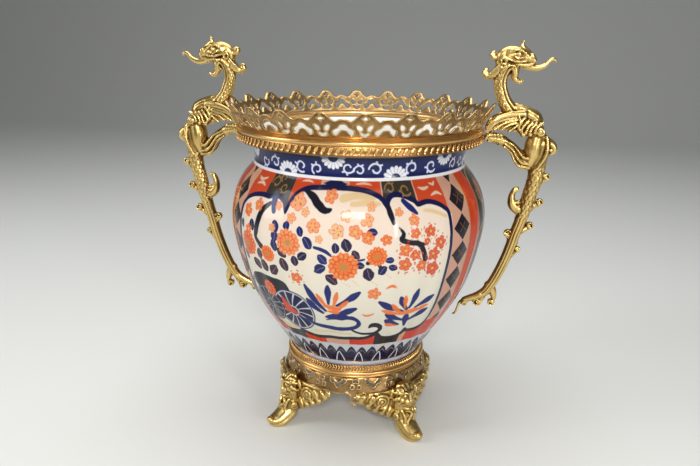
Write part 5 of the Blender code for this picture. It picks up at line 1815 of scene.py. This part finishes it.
yellow = gilt("yellow_gilt", (0.74, 0.53, 0.20), (0.38, 0.245, 0.075), (0.045, 0.025, 0.008), 0.28, 0.36)
copper = gilt("copper_gilt", (0.80, 0.49, 0.19), (0.42, 0.22, 0.072), (0.050, 0.024, 0.009), 0.27, 0.34)
brown = gilt("brown_gilt", (0.56, 0.37, 0.16), (0.25, 0.150, 0.060), (0.030, 0.017, 0.008), 0.30, 0.40)

jar, jar_angles, jar_heights, jar_painted = jar_mesh()
outward(jar)
store(jar, "inner", np.where(jar_painted, 0.0, 1.0))
glaze = porcelain(paint_marks(jar, jar_angles, jar_heights, jar_painted))
finish_piece(jar, "jar", glaze, "porcelain", "porcelain_jar")

gallery = gallery_mesh(brown)
shade_relief(gallery, 0.9)
finish_piece(thinned(gallery, GALLERY_FACE_SHARE), "gallery", brown, "brown_gilt", "rim_gallery")

skirt = skirt_mesh()
shade_relief(skirt, 0.9)
finish_piece(thinned(skirt, SKIRT_FACE_SHARE), "skirt", brown, "brown_gilt", "base_skirt")

rings = ((rim_band_mesh, "rim_ring", "rim_band"), (base_band_mesh, "base_ring", "base_band"))
for make_ring, name, node in rings:
    ring = make_ring(copper)
    outward(ring)
    finish_piece(ring, name, copper, "copper_gilt", node)

dragon = handle_mesh()
finish_piece(dragon, "dragon_right", yellow, "yellow_gilt", "dragon_handle_right")
finish_piece(turned_copy(dragon, "dragon_left", math.pi), "dragon_left", yellow, "yellow_gilt",
             "dragon_handle_left")

foot = foot_mesh()
for node, degrees in FOOT_TURNS.items():
    finish_piece(turned_copy(foot, node + "_cast", math.radians(degrees)), node + "_cast", yellow,
                 "yellow_gilt", node)
bpy.data.meshes.remove(foot)


# Floor, light and camera

def stage():
    """A pale floor that rises into a backdrop behind the object."""
    profile = [(-6.0, 0.0), (2.2, 0.0)] + [(2.2 + 1.6 * math.sin(lean), 1.6 - 1.6 * math.cos(lean))
                                           for lean in np.linspace(0.1, math.pi / 2, 12)] + [(3.8, 7.0)]
    corners = [(x, y, z) for y, z in profile for x in (-8.0, 8.0)]
    faces = [(2 * k, 2 * k + 1, 2 * k + 3, 2 * k + 2) for k in range(len(profile) - 1)]
    floor_mesh = bpy.data.meshes.new("floor")
    floor_mesh.from_pydata(corners, [], faces)
    floor_mesh.polygons.foreach_set("use_smooth", [True] * len(faces))
    finish = Finish("paper")
    floor_mesh.materials.append(finish.set(base_color=(0.72, 0.73, 0.71), roughness=0.9))
    piece_from(floor_mesh, "floor")


def lamp(name, place, aim, width, height, power, colour=(1, 1, 1)):
    """A soft lamp of that width and height in metres, pointed from its place at a spot."""
    light = bpy.data.lights.new(name, "AREA")
    light.shape = "RECTANGLE"
    light.size = width
    light.size_y = height
    light.energy = power
    light.color = colour
    holder = bpy.data.objects.new(name, light)
    holder.location = place
    holder.rotation_euler = (Vector(aim) - Vector(place)).to_track_quat("-Z", "Y").to_euler()
    bpy.context.scene.collection.objects.link(holder)


stage()
lamp("soft_top", (0.0, 0.1, 1.8), (0, 0, 0.2), 1.4, 1.4, 20)
lamp("front", (0.2, -1.5, 0.98), (0, 0, 0.24), 0.35, 0.35, 16, (1.0, 0.97, 0.92))
lamp("window", (1.35, -1.5, 0.5), (0, 0, 0.24), 0.22, 0.6, 9)
lamp("left_bank", (-1.5, -0.6, 0.9), (0, 0, 0.22), 0.5, 1.2, 10)
world = bpy.data.worlds.new("studio")
world.use_nodes = True
daylight = world.node_tree.nodes["Background"].inputs
daylight["Color"].default_value = (0.80, 0.82, 0.82, 1)
daylight["Strength"].default_value = 0.20
bpy.context.scene.world = world
bpy.context.scene.view_settings.view_transform = "Standard"

CAMERA_LENS = 32.58
SENSOR_WIDTH = 36.0
CAMERA_PLACE = (0.0983, -0.6612, 0.3992)
CAMERA_TURN = 9.2
CAMERA_LOOK_DOWN = 16.58
CAMERA_ROLL = 0.86


def aim_camera():
    """The camera that was fitted to the photo, in metres and degrees."""
    lens = bpy.data.cameras.new("camera")
    lens.lens = CAMERA_LENS
    lens.sensor_width = SENSOR_WIDTH
    camera = bpy.data.objects.new("camera", lens)
    turns = ((CAMERA_TURN, "Z"), (90 - CAMERA_LOOK_DOWN, "X"), (CAMERA_ROLL, "Z"))
    turn, tilt, roll = (Matrix.Rotation(math.radians(degrees), 4, axis) for degrees, axis in turns)
    camera.matrix_world = Matrix.Translation(CAMERA_PLACE) @ turn @ tilt @ roll
    bpy.context.scene.collection.objects.link(camera)
    bpy.context.scene.camera = camera


aim_camera()

bpy.context.view_layer.update()
